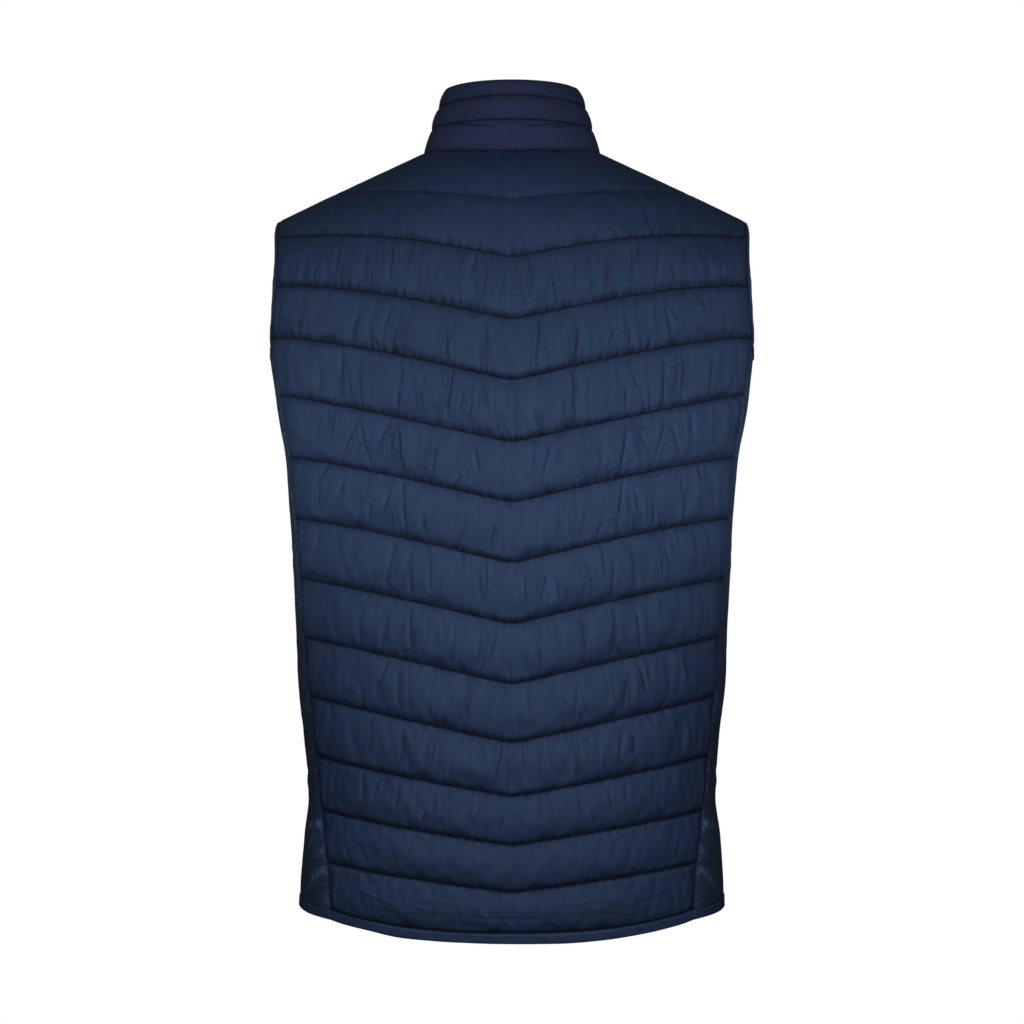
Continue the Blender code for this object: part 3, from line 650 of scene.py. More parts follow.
def blowUp(points, held, ease):
    # the stitch lines and seams hold still while the cloth between them fills out and gathers
    s = padding
    order = np.arange(held.size, dtype=float).reshape(held.shape)
    piece = gridPiece("padding_test", points, None, {"order": order, "held": held.astype(float)})
    order = readAttribute(piece.data, "order").astype(int)
    group = piece.vertex_groups.new(name="sewn")
    sewn = np.nonzero(readAttribute(piece.data, "held") > 0.5)[0]
    group.add(sewn.tolist(), 1.0, "REPLACE")
    cloth = piece.modifiers.new("padding", "CLOTH")
    c = cloth.settings
    c.quality = s["quality"]
    c.mass = s["vertexMass"]
    c.tension_stiffness = c.compression_stiffness = s["stiffness"]
    c.shear_stiffness = s["shear"]
    c.bending_stiffness = s["bending"]
    c.air_damping = s["drag"]
    c.vertex_group_mass = group.name
    c.use_pressure = True
    c.uniform_pressure_force = s["pressure"]
    c.shrink_min = -s["spare"]
    c.effector_weights.gravity = 0.0
    cloth.collision_settings.use_collision = False
    cloth.point_cache.frame_end = s["frames"]
    before = readPoints(piece.data)
    for number in range(1, s["frames"] + 1):
        bpy.context.scene.frame_set(number)
    after = readPoints(piece.evaluated_get(bpy.context.evaluated_depsgraph_get()).data)
    move = (after - before) * ease.ravel()[order, None]
    size = np.linalg.norm(move, axis=1, keepdims=True)
    result = np.zeros_like(before)
    result[order] = before + move * np.minimum(1, s["cap"] / np.maximum(size, 1e-9))
    bpy.data.objects.remove(piece)
    bpy.context.scene.frame_set(1)
    print("cloth moved", round(float(size.max()) * 1000, 2), "mm at most")
    return result.reshape(points.shape)


folding = {
    "wide": (0.015, 0.00095),  # spacing and height of the soft upright folds
    "narrow": (0.0075, 0.00045),
    "drift": (0.05, 0.8),  # spacing and size of their wander
    "strength": (0.045, 0.65, 0.6),  # its spacing, mean and swing
    "fade": 0.006,  # they reach full height this far from a stitch line
    "comb": (0.0052, 0.00050),  # short puckers along the stitch lines
    "combReach": 0.007,
    "combFade": 0.002,
    "bend": 0.0005,
    "crease": 0.90,  # share of a crease's depth that is in the form, the rest is painted shade
    "creaseFade": 0.003,
    "seamFade": 0.008,
    "widest": (2.8, 0.8),  # half width in mm of a crease too soft to get painted shade, over how much less
    "far": 0.02,  # from any crease
    "channels": (0.2, 0.5, 0.8, 1, 1, 1, 1, 1, 1, 1, 1, 0.9, 0.5, 0.2),  # how much of this each channel has
}


def addFolds(fine, seed):
    # soft upright folds and the puckers that the sewing leaves
    f = folding
    across, course, gap = fine["grain"], fine["course"], fine["gap"]
    channel = np.clip(np.floor(course), 0, len(f["channels"]) - 1).astype(int)
    share = np.array(f["channels"])[channel]
    spacing, size = f["drift"]
    drift = softNoise(across / spacing + 9, course * 1.3, seed) * size
    wide = softNoise(across / f["wide"][0] + drift, course * 0.9 + channel * 7, seed + 1) * f["wide"][1]
    narrow = softNoise(across / f["narrow"][0] + drift, course * 1.5 + channel * 5, seed + 2) * f["narrow"][1]
    spacing, mean, swing = f["strength"]
    mask = mean + swing * softNoise(across / spacing, course * 1.1, seed + 3)
    comb = softNoise(across / f["comb"][0], course * 3, seed + 4) * f["comb"][1]
    comb = comb * np.exp(-gap / f["combReach"]) * smoothStep(gap / f["combFade"])
    return share * ((wide + narrow) * mask * smoothStep(gap / f["fade"]) + comb)


def alongCrease(fromX, fromZ, run, climb):
    # share of the way along a straight crease, then how far past its ends and aside of it
    t = (fromX * run + fromZ * climb) / (run**2 + climb**2)
    length = np.hypot(run, climb)
    past = (t - np.clip(t, 0, 1)) * length
    return np.clip(t, 0, 1), past, (fromX * climb - fromZ * run) / length


def mound(aside, past, width):
    return np.exp(-(aside**2 + past**2) / width**2)


def keepNearest(beside, deep, aside, past, side, strength):
    # the painted crease shade and highlight follow only the nearest crease: its distance, with the side in
    # the sign, and its strength
    distance = np.hypot(aside, past)
    closer = distance < np.abs(beside)
    beside[closer] = np.copysign(distance, side)[closer]
    deep[closer] = strength[closer]


def addCreases(fine, creases):
    # the hands that have it, channel, then place in mm from the centre at the bottom and top of the crease,
    # where it starts and ends in the channel, and its depth and half width in mm
    x, across, course = fine["points"][..., 0], fine["across"], fine["course"]
    x = x if x.min() < 0 < x.max() else np.abs(x)
    tall, (widest, over) = quilting["channelHeight"], folding["widest"]
    shift, deep = np.zeros_like(course), np.zeros_like(course)
    beside = np.full_like(course, folding["far"])
    for hands, channel, bottom, top, low, high, depth, width in creases:
        row = int((channel + 0.5) * perChannel)
        rise = (course - channel) * tall - low * tall
        w = width * 0.001
        # how strongly the crease's shade is painted: none for the widest creases
        drawn = min(depth, 1.0) * max(0.0, min((widest - width) / over, 1.0))
        for hand in hands:
            start, end = np.interp([hand * bottom * 0.001, hand * top * 0.001], x[row], across[row])
            t, past, aside = alongCrease(across - start, rise, end - start, (high - low) * tall)
            aside = aside - folding["bend"] * np.sin(2 * np.pi * t)
            taper = np.sqrt(np.sin(np.pi * t) + 1e-9)
            trough = mound(aside, past, w) * taper
            ridge = mound(aside - hand * 2 * w, past, 1.5 * w) * taper
            lip = mound(aside + hand * 2 * w, past, 1.5 * w) * taper
            shift += depth * 0.001 * folding["crease"] * (0.5 * ridge + 0.3 * lip - trough)
            keepNearest(beside, deep, aside, past, aside * hand, drawn * taper)
    return shift, beside, deep


def underShoulderLine(points):
    # the padding stays under the straight line from the neck to the tip of the shoulder
    x, z = points[..., 0], points[..., 2]
    soft = quilting["shoulderSoft"]
    high = quilting["wall"] - quilting["seamDip"]["shoulder"]
    line = shoulderHeight(x) + high * math.hypot(1, form["slope"])
    line = np.where(np.abs(x) > form["neckHalfWidth"], line, line + quilting["neckRoom"])
    z = line - soft * np.logaddexp(0, (line - z) / soft)
    return np.stack([x, points[..., 1], z], axis=-1)


def paddedPanel(name, panel, shares, seed, creases):
    q = quilting
    laid = layOut(panel, shares)
    points, normals = laid["points"], outward(laid["points"])
    topX = points[-1, :, 0]
    shoulder = np.abs(topX) >= form["neckHalfWidth"] - 1e-6
    up = unit(np.stack([form["slope"] * np.sign(topX), 0 * topX, 1 + 0 * topX], axis=-1))
    normals[-1][shoulder] = up[shoulder]
    phase = laid["course"] % 1
    puff = np.sin(np.pi * phase ** q["sag"]) ** q["roundness"]
    fromEnd = np.abs(laid["across"] - laid["across"][:, -1:])
    fromStart = np.abs(laid["across"] - laid["across"][:, :1])
    fade = smoothStep(fromEnd / q["edgeFade"]) * smoothStep(fromStart / q["edgeFade"])
    dice = np.random.default_rng(seed)
    ripple = dice.normal(0, padding["ripple"], puff.shape) * puff
    fromTop = laid["along"][-1] - laid["along"]
    outside = smoothStep((np.abs(topX) - form["neckHalfWidth"]) / q["shoulderFade"] * 2 + 1)
    calm = 1 - outside * (1 - smoothStep(fromTop / q["shoulderFade"]))
    lift = q["wall"] + fade * calm * (laid["loft"] * puff * padding["start"] + ripple)
    sewn = (phase == 0) | (laid["reach"] < q["leastReach"])
    last, over, least = q["slack"]
    firm = np.clip((last - laid["course"]) / over, least, 1)
    stitchDip = q["seamDip"]["shoulder"] * (1 - calm) + q["stitchDip"] * firm * calm
    dip = np.where(sewn, stitchDip, q["seamDip"]["shoulder"] * (1 - calm))
    dip[0] = q["seamDip"]["hem"]
    split = q["underarm"][0] * len(q["rows"]) + q["underarm"][1]
    dip[:split, [0, -1]] = q["seamDip"]["side"]
    dip[split:, [0, -1]] = q["seamDip"]["armhole"]
    if panel["innerX"] > 0:
        dip[:, 0] = q["seamDip"]["side"]
    dip[-1] = np.where(shoulder, q["seamDip"]["shoulder"], q["seamDip"]["neck"])
    sewn[[0, -1]] = True
    sewn[:, [0, -1]] = True
    outer = points + normals * (lift - dip)[..., None]
    outer = blowUp(outer, sewn, calm)
    laid["calm"] = calm
    fine = {key: refined(laid[key], True) for key in ("across", "along", "course", "gap", "reach", "calm")}
    lean = q["lean"] * smoothStep(np.abs(fine["across"]) / q["leanStart"]) * np.sign(fine["across"])
    fine["grain"] = fine["across"] + lean * (fine["course"] % 1) * fine["reach"]
    fine["points"], outer = refined(points), refined(outer)
    run = fine["across"]
    edge = np.minimum(np.abs(run - run[:, :1]), np.abs(run - run[:, -1:]))
    fade = smoothStep(edge / folding["seamFade"])
    shift, beside, deep = addCreases(fine, creases)
    shift = (shift * smoothStep(fine["gap"] / folding["creaseFade"]) + addFolds(fine, seed)) * fade
    shift = shift * fine["calm"]
    fine["normals"] = outward(outer)
    fine["outer"] = outer + fine["normals"] * shift[..., None]
    fine["outer"][:-1] = underShoulderLine(fine["outer"][:-1])
    attributes = {key: fine[key] for key in ("grain", "along", "course")}
    # distance to a stitch line or seam: the thread line and the painted shade beside it follow both
    attributes["gap"] = np.minimum(fine["gap"], edge)
    # where the nearest crease is and how strongly its shade and highlight are painted, fading at the seams
    attributes["aside"], attributes["deep"] = beside, deep * fade
    piece = gridPiece(name, fine["outer"], shellNylon, attributes)
    thicken(piece, q["wall"])
    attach(piece, "vest")
    print(name, len(piece.data.polygons), "faces outside")
    return piece, fine


backCreases = (  # as the photo shows them, alike on both sides of the centre
    (12, 156, 156, 0.15, 0.95, 0.6, 2.0),
    (12, 140, 140, 0.20, 0.60, 0.4, 2.0),
    (11, 200, 195, 0.15, 0.50, 0.8, 2.2),
    (11, 185, 182, 0.05, 0.40, 0.8, 2.2),
    (11, 174, 171, 0.10, 0.40, 0.7, 2.0),
    (11, 168, 164, 0.35, 0.85, 0.8, 2.2),
    (11, 153, 151, 0.10, 0.80, 0.9, 2.4),
    (11, 143, 140, 0.05, 0.30, 0.6, 1.8),
    (11, 126, 128, 0.10, 0.85, 0.7, 2.2),
    (11, 105, 104, 0.20, 0.90, 0.8, 2.0),
    (11, 80, 81, 0.10, 0.60, 0.4, 2.0),
    (11, 30, 31, 0.15, 0.65, 0.4, 2.0),
    (11, 12, 5, 0.10, 0.80, 0.4, 2.0),
    (10, 138, 133, 0.03, 0.75, 1.2, 2.2),
    (10, 117, 119, 0.02, 0.25, 0.8, 1.8),
    (10, 102, 101, 0.05, 0.45, 0.5, 2.0),
    (10, 55, 57, 0.02, 0.65, 0.8, 1.9),
    (10, 22, 23, 0.05, 0.90, 0.7, 1.8),
    (10, 186, 186, 0.05, 0.40, 0.7, 2.0),
    (10, 167, 160, 0.70, 0.95, 0.7, 2.0),
    (9, 150, 146, 0.08, 0.95, 1.2, 2.2),
    (9, 133, 130, 0.03, 0.85, 1.2, 2.2),
    (9, 140, 142, 0.10, 0.75, 0.5, 2.0),
    (9, 100, 97, 0.10, 0.50, 0.9, 1.9),
    (9, 56, 51, 0.12, 0.95, 1.1, 1.8),
    (9, 82, 84, 0.15, 0.55, 0.4, 2.0),
    (8, 157, 152, 0.45, 0.90, 1.2, 2.2),
    (8, 149, 134, 0.10, 0.80, 0.9, 2.2),
    (8, 123, 132, 0.05, 0.90, 0.8, 1.8),
    (8, 118, 103, 0.35, 0.95, 0.7, 1.8),
    (8, 94, 98, 0.02, 0.90, 1.0, 1.8),
    (8, 76, 76, 0.05, 0.70, 0.5, 1.8),
    (8, 26, 33, 0.30, 0.85, 0.8, 1.8),
    (8, 163, 162, 0.02, 0.14, 0.6, 1.6),
    (8, 168, 167, 0.02, 0.16, 0.6, 1.6),
    (7, 166, 160, 0.70, 0.95, 1.1, 1.9),
    (7, 148, 145, 0.50, 0.80, 0.9, 1.9),
    (7, 124, 122, 0.10, 0.50, 0.8, 1.9),
    (7, 110, 105, 0.35, 0.75, 0.9, 2.0),
    (7, 91, 94, 0.05, 0.95, 1.1, 1.8),
    (7, 74, 77, 0.10, 0.40, 0.8, 1.7),
    (7, 40, 41, 0.30, 0.75, 0.4, 1.8),
    (6, 110, 101, 0.10, 0.90, 1.4, 2.3),
    (6, 87, 87, 0.05, 0.70, 0.8, 1.9),
    (6, 62, 62, 0.10, 0.50, 0.4, 1.9),
    (6, 25, 29, 0.30, 0.70, 0.7, 1.8),
    (6, 139, 131, 0.30, 0.75, 0.6, 2.2),
    (5, 114, 105, 0.10, 0.85, 1.2, 2.2),
    (5, 87, 88, 0.10, 0.90, 1.2, 2.1),
    (5, 99, 88, 0.10, 0.26, 0.8, 1.8),
    (5, 145, 145, 0.20, 0.75, 0.9, 3.6),
    (5, 25, 23, 0.15, 0.45, 0.7, 1.9),
    (5, 58, 60, 0.55, 0.95, 0.4, 1.9),
    (4, 120, 107, 0.25, 0.90, 0.9, 2.1),
    (4, 98, 99, 0.15, 0.85, 1.2, 2.3),
    (4, 138, 132, 0.60, 0.90, 0.8, 3.2),
    (4, 51, 44, 0.40, 0.60, 0.5, 1.9),
    (4, 62, 60, 0.05, 0.25, 0.5, 1.7),
    (3, 93, 95, 0.30, 0.85, 0.8, 2.0),
    (3, 76, 73, 0.10, 0.75, 0.7, 2.4),
    (3, 160, 149, 0.68, 0.82, 0.7, 2.6),
    (3, 124, 121, 0.75, 0.92, 0.6, 1.9),
    (2, 74, 67, 0.25, 0.60, 0.6, 2.4),
    (2, 38, 31, 0.15, 0.55, 0.6, 2.6),
    (2, 99, 100, 0.60, 0.90, 0.6, 2.4),
    (1, 142, 148, 0.10, 0.50, 0.6, 2.0),
    (1, 90, 88, 0.50, 0.75, 0.4, 2.0),
    (1, 55, 57, 0.30, 0.60, 0.4, 2.2),
    (0, 137, 101, 0.60, 0.42, 0.8, 2.0),
    (0, 101, 95, 0.42, 0.56, 0.7, 2.0),
    (0, 95, 58, 0.48, 0.36, 0.7, 2.1),
    (0, 118, 80, 0.30, 0.22, 0.6, 2.1),
    (0, 44, -12, 0.36, 0.44, 0.7, 2.1),
    (0, 56, 10, 0.18, 0.22, 0.7, 2.1),
    (0, 84, 30, 0.64, 0.56, 0.5, 2.2),
    (0, 150, 118, 0.16, 0.12, 0.6, 2.1),
)


scattered = {
    "front": {"step": 19, "depth": (0.3, 1.2), "channels": (1, 13)},  # the hidden side
    "back": {"step": 17, "depth": (0.2, 0.8), "channels": (2, 12)},  # faint ones between those of the table
    "places": (16, 186),  # in mm from the centre
    "jitter": 8,
    "low": (0.02, 0.5),
    "length": (0.2, 0.7),
    "highest": 0.95,
    "lean": (-2, 7),
    "width": (1.6, 2.3),
}


def scatteredCreases(kind, hand, seed):
    s, k, dice = scattered, scattered[kind], np.random.default_rng(seed)
    rows = []
    for channel in range(*k["channels"]):
        places = np.arange(*s["places"], k["step"])
        for place in places + dice.uniform(-s["jitter"], s["jitter"], len(places)):
            low = dice.uniform(*s["low"])
            high = min(low + dice.uniform(*s["length"]), s["highest"])
            lean = dice.uniform(*s["lean"])
            bottom, top = hand * (place + lean / 2), hand * (place - lean / 2)
            depth, width = dice.uniform(*k["depth"]), dice.uniform(*s["width"])
            rows.append(((1,), channel, bottom, top, low, high, depth, width))
    return rows


backShares = columnShares(backPanel)
backShares = np.concatenate([-backShares[:0:-1], backShares])
frontShares = columnShares(frontPanel)
creases = [((1, -1), *row) for row in backCreases]
creases += scatteredCreases("back", 1, 3) + scatteredCreases("back", -1, 4)
back, backFine = paddedPanel("quilted_back", backPanel, backShares, 11, creases)
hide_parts("back")
creases = scatteredCreases("front", 1, 5)
frontLeft, leftFine = paddedPanel("quilted_front_left", frontPanel, frontShares, 23, creases)
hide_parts("front_left")
creases = scatteredCreases("front", 1, 6)
frontRight, rightFine = paddedPanel("quilted_front_right", frontPanel, -frontShares, 41, creases)
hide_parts("front_right")

collarForm = {
    "topHalfWidth": 0.0622,
    "topBack": 0.0465,
    "topFront": -0.0880,
    "topHeight": 0.0958,
    "frontHeight": 0.0450,
    "dropCurve": 1.5,
    "lines": ((0.0, 0.0), (0.40, 0.0014), (0.725, 0.0024), (1.0, 0.0020)),  # share of the height, loft below
    "rows": (0.0, 0.10, 0.28, 0.50, 0.72, 0.90),
    "frontColumns": 20,
    "backColumns": 28,
    "arch": 0.12,  # how much higher the stitch lines are at the centre back
    "baseLift": (0.0040, 0.0058),  # of the foot at the centre back and at the sides
    "tuck": 0.004,
    "turnRows": 7,  # over the rounded top edge
    "insideRows": 12,
    "stand": 0.070,
    "ease": 0.3,  # the collar is firmer than the panels
    "stitchDip": 0.0006,
    "topGap": 0.012,  # the finish draws no stitch line along the top edge
    "hills": (0.03, 5, 0.0004),  # spacing across, number up the height and size of the soft unevenness
    "hillFade": 0.004,
    "creases": (  # mm across and share of the height at both ends, then depth and half width in mm
        (-62, 0.425, -30, 0.355, 1.0, 2.2),
        (62, 0.425, 12, 0.340, 1.0, 2.2),
        (-48, 0.385, -16, 0.345, 0.8, 2.0),
        (70, 0.40, 40, 0.33, 0.8, 2.0),
        (-40, 0.10, -8, 0.07, 0.3, 2.4),
        (36, 0.72, 70, 0.68, 0.3, 2.2),
    ),
}


def neckline():
    # round the neck from the left front edge, over the back, to the right front edge
    c, neck = collarForm, form["neckHalfWidth"]
    frontX = np.linspace(frontPanel["innerX"], neck, c["frontColumns"] + 1)
    backX = np.linspace(neck, -neck, c["backColumns"] + 1)
    left = onSurface(frontPanel, frontX, topHeight(frontPanel, frontX))
    middle = onSurface(backPanel, backX, topHeight(backPanel, backX))
    right = left[::-1] * np.array([-1, 1, 1])
    return np.concatenate([left[:-1], middle, right[1:]])


def standCollar():
    c, wall = collarForm, quilting["wall"]
    base = neckline()
    low, high = base[:, 1].min(), base[:, 1].max()
    middle, reach = (low + high) / 2, (high - low) / 2
    angle = np.arctan2((base[:, 1] - middle) / reach, base[:, 0] / form["neckHalfWidth"])
    forward = np.maximum(-np.sin(angle), 0) ** c["dropCurve"]
    x = c["topHalfWidth"] * np.cos(angle)
    x[[0, -1]] = base[[0, -1], 0]
    y = (c["topBack"] + c["topFront"]) / 2 + (c["topBack"] - c["topFront"]) / 2 * np.sin(angle)
    top = np.stack([x, y, c["topHeight"] + (c["frontHeight"] - c["topHeight"]) * forward], axis=-1)
    rise = top - base
    tall = np.linalg.norm(rise, axis=-1, keepdims=True)
    top = top - rise / tall * wall / 2  # room for the rounded edge
    shares, lifts, sewn, gaps = [], [], [], []
    for (start, _), (end, loft) in zip(c["lines"], c["lines"][1:]):
        for row in c["rows"]:
            shares.append(start + (end - start) * row)
            lifts.append(wall + loft * padding["start"] * math.sin(math.pi * row) ** quilting["roundness"])
            sewn.append(row == 0)
            gaps.append(min(row, 1 - row) * (end - start) * c["stand"])
    shares, lifts, sewn, gaps = shares + [1.0], lifts + [wall], sewn + [True], gaps + [c["topGap"]]
    lifts = np.tile((np.array(lifts) - np.where(sewn, c["stitchDip"], 0))[:, None], (1, len(base)))
    foot, footSide = c["baseLift"]
    lifts[0], lifts[-1], gaps[0] = foot + (footSide - foot) * np.abs(np.cos(angle)), wall, 0.0
    shares = np.array(shares)[:, None]
    shares = shares * (1 + c["arch"] * np.maximum(np.sin(angle), 0) ** 2 * (1 - shares**6))
    inside = base + (top - base) * shares[..., None]
    normals = outward(inside)
    outer = inside + normals * lifts[..., None]
    held = np.tile(np.array(sewn)[:, None], (1, len(base)))
    held[:, [0, -1]] = True
    outer = blowUp(outer, held, np.full(held.shape, c["ease"]))
    outer, normals = refined(outer), refined(normals)
    base, top = finer(base, quilting["finerColumns"], 0), finer(top, quilting["finerColumns"], 0)
    around = runAlong(base)
    around = np.tile(around - around[-1] / 2, (len(outer), 1))
    height = refined(shares, True)
    gap = np.tile(finer(np.array(gaps), quilting["finerRows"], 0, True)[:, None], (1, len(base)))
    shift, deep, beside = np.zeros_like(gap), np.zeros_like(gap), np.full_like(gap, folding["far"])
    for startX, startShare, endX, endShare, depth, width in c["creases"]:
        t = np.clip((around * 1000 - startX) / (endX - startX), 0, 1)
        past = around - (startX + (endX - startX) * t) * 0.001
        aside = (height - startShare - (endShare - startShare) * t) * c["stand"]
        w = width * 0.001
        taper = np.sqrt(np.sin(np.pi * (0.05 + 0.9 * t)))
        trough = mound(aside, past, w) * taper
        ridge = mound(aside + 2 * w, past, 1.6 * w) * taper
        shift += depth * 0.001 * (0.6 * ridge - trough)
        # the collar creases get painted shade and highlight as well
        keepNearest(beside, deep, aside, past, aside, depth * np.sqrt(np.sin(np.pi * t) + 1e-9))
    spacing, number, size = c["hills"]
    shift += softNoise(around / spacing, height * number, 61) * size * smoothStep(gap / c["hillFade"])
    outer = outer + normals * (shift * smoothStep(gap / folding["creaseFade"]))[..., None]
    turn = np.linspace(0, np.pi, c["turnRows"])[1:, None, None]
    over = top + normals[-1] * wall / 2 * (1 + np.cos(turn)) + unit(top - base) * wall / 2 * np.sin(turn)
    down = base + (top - base) * np.linspace(1, 0, c["insideRows"])[1:-1, None, None]
    tucked = (base - unit(top - base) * c["tuck"])[None]
    grid = np.concatenate([tucked, outer, over, down, tucked])
    extra = len(grid) - len(outer) - 1

    def full(values, rest):
        return np.concatenate([values[:1], values, rest + 0 * np.tile(values[:1], (extra, 1))])

    rest = np.linspace(1, 0, extra)[:, None]
    attributes = {"grain": full(around, around[:1]), "along": full(height, rest) * c["stand"]}
    attributes["gap"], attributes["aside"] = full(gap, folding["far"]), full(beside, folding["far"])
    attributes["deep"] = full(deep, 0.0)
    attributes["course"] = np.full(grid.shape[:2], 0.5)
    piece = gridPiece("stand_collar", grid, collarNylon, attributes, True)
    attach(piece, "vest")
    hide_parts("collar")
    print("collar", len(piece.data.polygons), "faces")
    return outer, normals


collarOuter, collarNormals = standCollar()

sidePanel = {
    "columns": 48,
    "tuck": 0.003,  # seam allowance under the padded panels
    "hemRise": 0.0034,
    "dip": 0.010,  # of the underarm edge
    "dipCurve": 8,
    "wall": 0.0028,
    "soft": (0.03, 0.05, 0.0009),  # spacing across and up, and height, of the unevenness
    "small": (0.012, 0.016, 0.0003),
    "gathers": (0.05, 0.015, 0.0014),  # beside the seams
    "gatherReach": 0.014,
    "edgeFade": 0.005,
    "seamDip": (0.0009, 0.004),  # depth and reach of the hollow along a seam
    "tuckLift": 0.0010,
    "creases": (  # share of the width and height at both ends, then depth and half width in mm
        (0.02, -0.5790, 0.22, -0.5850, 2.0, 3.0),
        (0.13, -0.5880, 0.23, -0.6060, 2.2, 2.8),
        (0.04, -0.6200, 0.19, -0.6330, 1.8, 2.8),
        (0.13, -0.6300, 0.24, -0.6440, 1.6, 2.6),
        (0.03, -0.6010, 0.12, -0.6130, 1.2, 2.6),
        (0.05, -0.5480, 0.17, -0.5620, 1.2, 2.8),
        (0.62, -0.5840, 0.98, -0.5770, 1.8, 3.0),
        (0.70, -0.6200, 0.95, -0.6010, 1.4, 2.6),
        (0.30, -0.5400, 0.72, -0.5480, 1.0, 3.4),
        (0.20, -0.1700, 0.36, -0.2300, 0.8, 3.0),
        (0.78, -0.1720, 0.62, -0.2350, 0.8, 3.0),
        (0.10, -0.3300, 0.55, -0.3480, 0.7, 3.2),
        (0.88, -0.4100, 0.45, -0.4300, 0.7, 3.2),
        (0.06, -0.4700, 0.40, -0.4820, 0.6, 2.8),
    ),
}


def plainSide(name, backEdge, frontEdge, hand):
    s, square = sidePanel, form["squareness"]
    ends = np.stack([backEdge, frontEdge]) * np.array([hand, 1, 1])
    ratio = np.minimum(ends[..., 0] / halfWidth(ends[..., 2]), 1)
    angles = np.copysign(np.arccos(ratio ** (square / 2)), ends[..., 1])
    share = np.linspace(0, 1, s["columns"] + 1)
    climb = np.linspace(0, 1, len(backEdge))[:, None]
    z = ends[0, :, 2:] + (ends[1, :, 2:] - ends[0, :, 2:]) * share
    z = z - s["dip"] * np.sin(np.pi * share) * climb ** s["dipCurve"]
    z = z + s["hemRise"] * np.sin(np.pi * share) * (1 - climb) ** s["dipCurve"]
    angle = angles[0][:, None] + (angles[1] - angles[0])[:, None] * share
    depths = [smoothColumn(form["sections"], column)(z) for column in (2, 3)]
    depth = np.where(angle > 0, depths[0], depths[1])
    x = halfWidth(z) * np.cos(angle) ** (2 / square)
    y = np.copysign(depth * np.abs(np.sin(angle)) ** (2 / square), angle)
    points = np.stack([hand * x, y, z], axis=-1)
    points[:, 0], points[:, -1] = backEdge, frontEdge
    normals = outward(points)
    wide = np.linalg.norm(points[:, -1] - points[:, 0], axis=-1)[:, None]
    lift, glint = np.zeros(z.shape), np.zeros(z.shape)
    for startShare, startZ, endShare, endZ, depth, width in s["creases"]:
        fromX, across = (share[None, :] - startShare) * wide, (endShare - startShare) * wide
        t, past, aside = alongCrease(fromX, z - startZ, across, endZ - startZ)
        w = width * 0.001
        taper = np.sqrt(np.sin(np.pi * (0.05 + 0.9 * t)))
        ridge = mound(aside - 2.2 * w, past, 1.7 * w)
        lift = lift + depth * 0.001 * (0.8 * ridge - mound(aside, past, w)) * taper
        shine = mound(aside - 1.1 * w, past, 0.6 * w) * taper
        glint = np.maximum(glint, shine * min(depth / 2, 1))
    run = share[None, :] * wide
    soft, small, gathers = s["soft"], s["small"], s["gathers"]
    hills = softNoise(run / soft[0] + 4 * hand, z / soft[1], 71) * soft[2]
    lift += hills + softNoise(run / small[0], z / small[1], 73) * small[2]
    edge = np.minimum(run, wide - run)
    hills = softNoise(run / gathers[0], z / gathers[1], 79) * gathers[2]
    lift += hills * np.exp(-edge / s["gatherReach"])
    dip, over = s["seamDip"]
    lift = quilting["wall"] + lift * smoothStep(edge / s["edgeFade"]) - dip * (1 - smoothStep(edge / over))
    cloth = points + normals * lift[..., None]
    tucked = []
    for end, inner in ((0, 1), (-1, -2)):
        away = unit(points[:, end] - points[:, inner])
        tucked.append(points[:, end] + away * s["tuck"] + normals[:, end] * s["tuckLift"])
    grid = np.concatenate([tucked[0][:, None], cloth, tucked[1][:, None]], axis=1)
    attributes = {"gap": edge, "across": run, "along": z, "glint": glint}
    attributes = {key: np.pad(values, ((0, 0), (1, 1)), mode="edge") for key, values in attributes.items()}
    piece = gridPiece("plain_side_" + name, grid, sideNylon, attributes)
    thicken(piece, s["wall"])
    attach(piece, "vest")
    "front_" + name
    return piece, points, normals


underarm = quilting["underarm"][0] * perChannel + quilting["underarm"][1] * quilting["finerRows"]
sides = {}
for name, column, fine, hand in (("left", -1, leftFine, 1), ("right", 0, rightFine, -1)):
    backEdge = backFine["points"][: underarm + 1, column]
    frontEdge = fine["points"][: underarm + 1, -1]
    piece, points, normals = plainSide(name, backEdge, frontEdge, hand)
    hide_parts("side_" + name)
    sides[name] = (points, normals)

band = {
    "hemWidth": 0.0098,
    "bindingWidth": 0.0050,
    "inside": -0.0008,
    "outside": 0.0036,
    "near": 0.00015,
    "lap": -0.0020,  # how far the strip reaches past the raw edge on the inside
    "cloth": 0.0008,  # thickness of the folded strip
    "straightSteps": 5,
    "turnSteps": 8,
    "pucker": (0.0065, 0.00055),  # spacing and height
    "wave": (0.030, 0.00060),
    "endFade": 0.02,
    "hemSeed": 81,
    "bindingSeed": 101,
}


def foldedSection(width):
    # a strip folded round the raw edge: down the outside, round the turn and up the inside
    b = band
    middle, half = (b["inside"] + b["outside"]) / 2, (b["outside"] - b["inside"]) / 2
    start = width - half
    down = np.linspace(b["near"], start, b["straightSteps"])[:-1]
    up = np.linspace(start, b["lap"], b["straightSteps"])[1:]
    turn = np.linspace(np.pi / 2, -np.pi / 2, b["turnSteps"])
    paths = []
    for radius in (half, half - b["cloth"]):
        runs = np.concatenate([down, start + radius * np.cos(turn), up])
        outside, inside = np.full(len(down), middle + radius), np.full(len(up), middle - radius)
        rises = np.concatenate([outside, middle + radius * np.sin(turn), inside])
        paths.append(np.stack([runs, rises], axis=-1))
    loop = np.concatenate([paths[0], paths[1][::-1]])
    return np.concatenate([loop, loop[:1]])


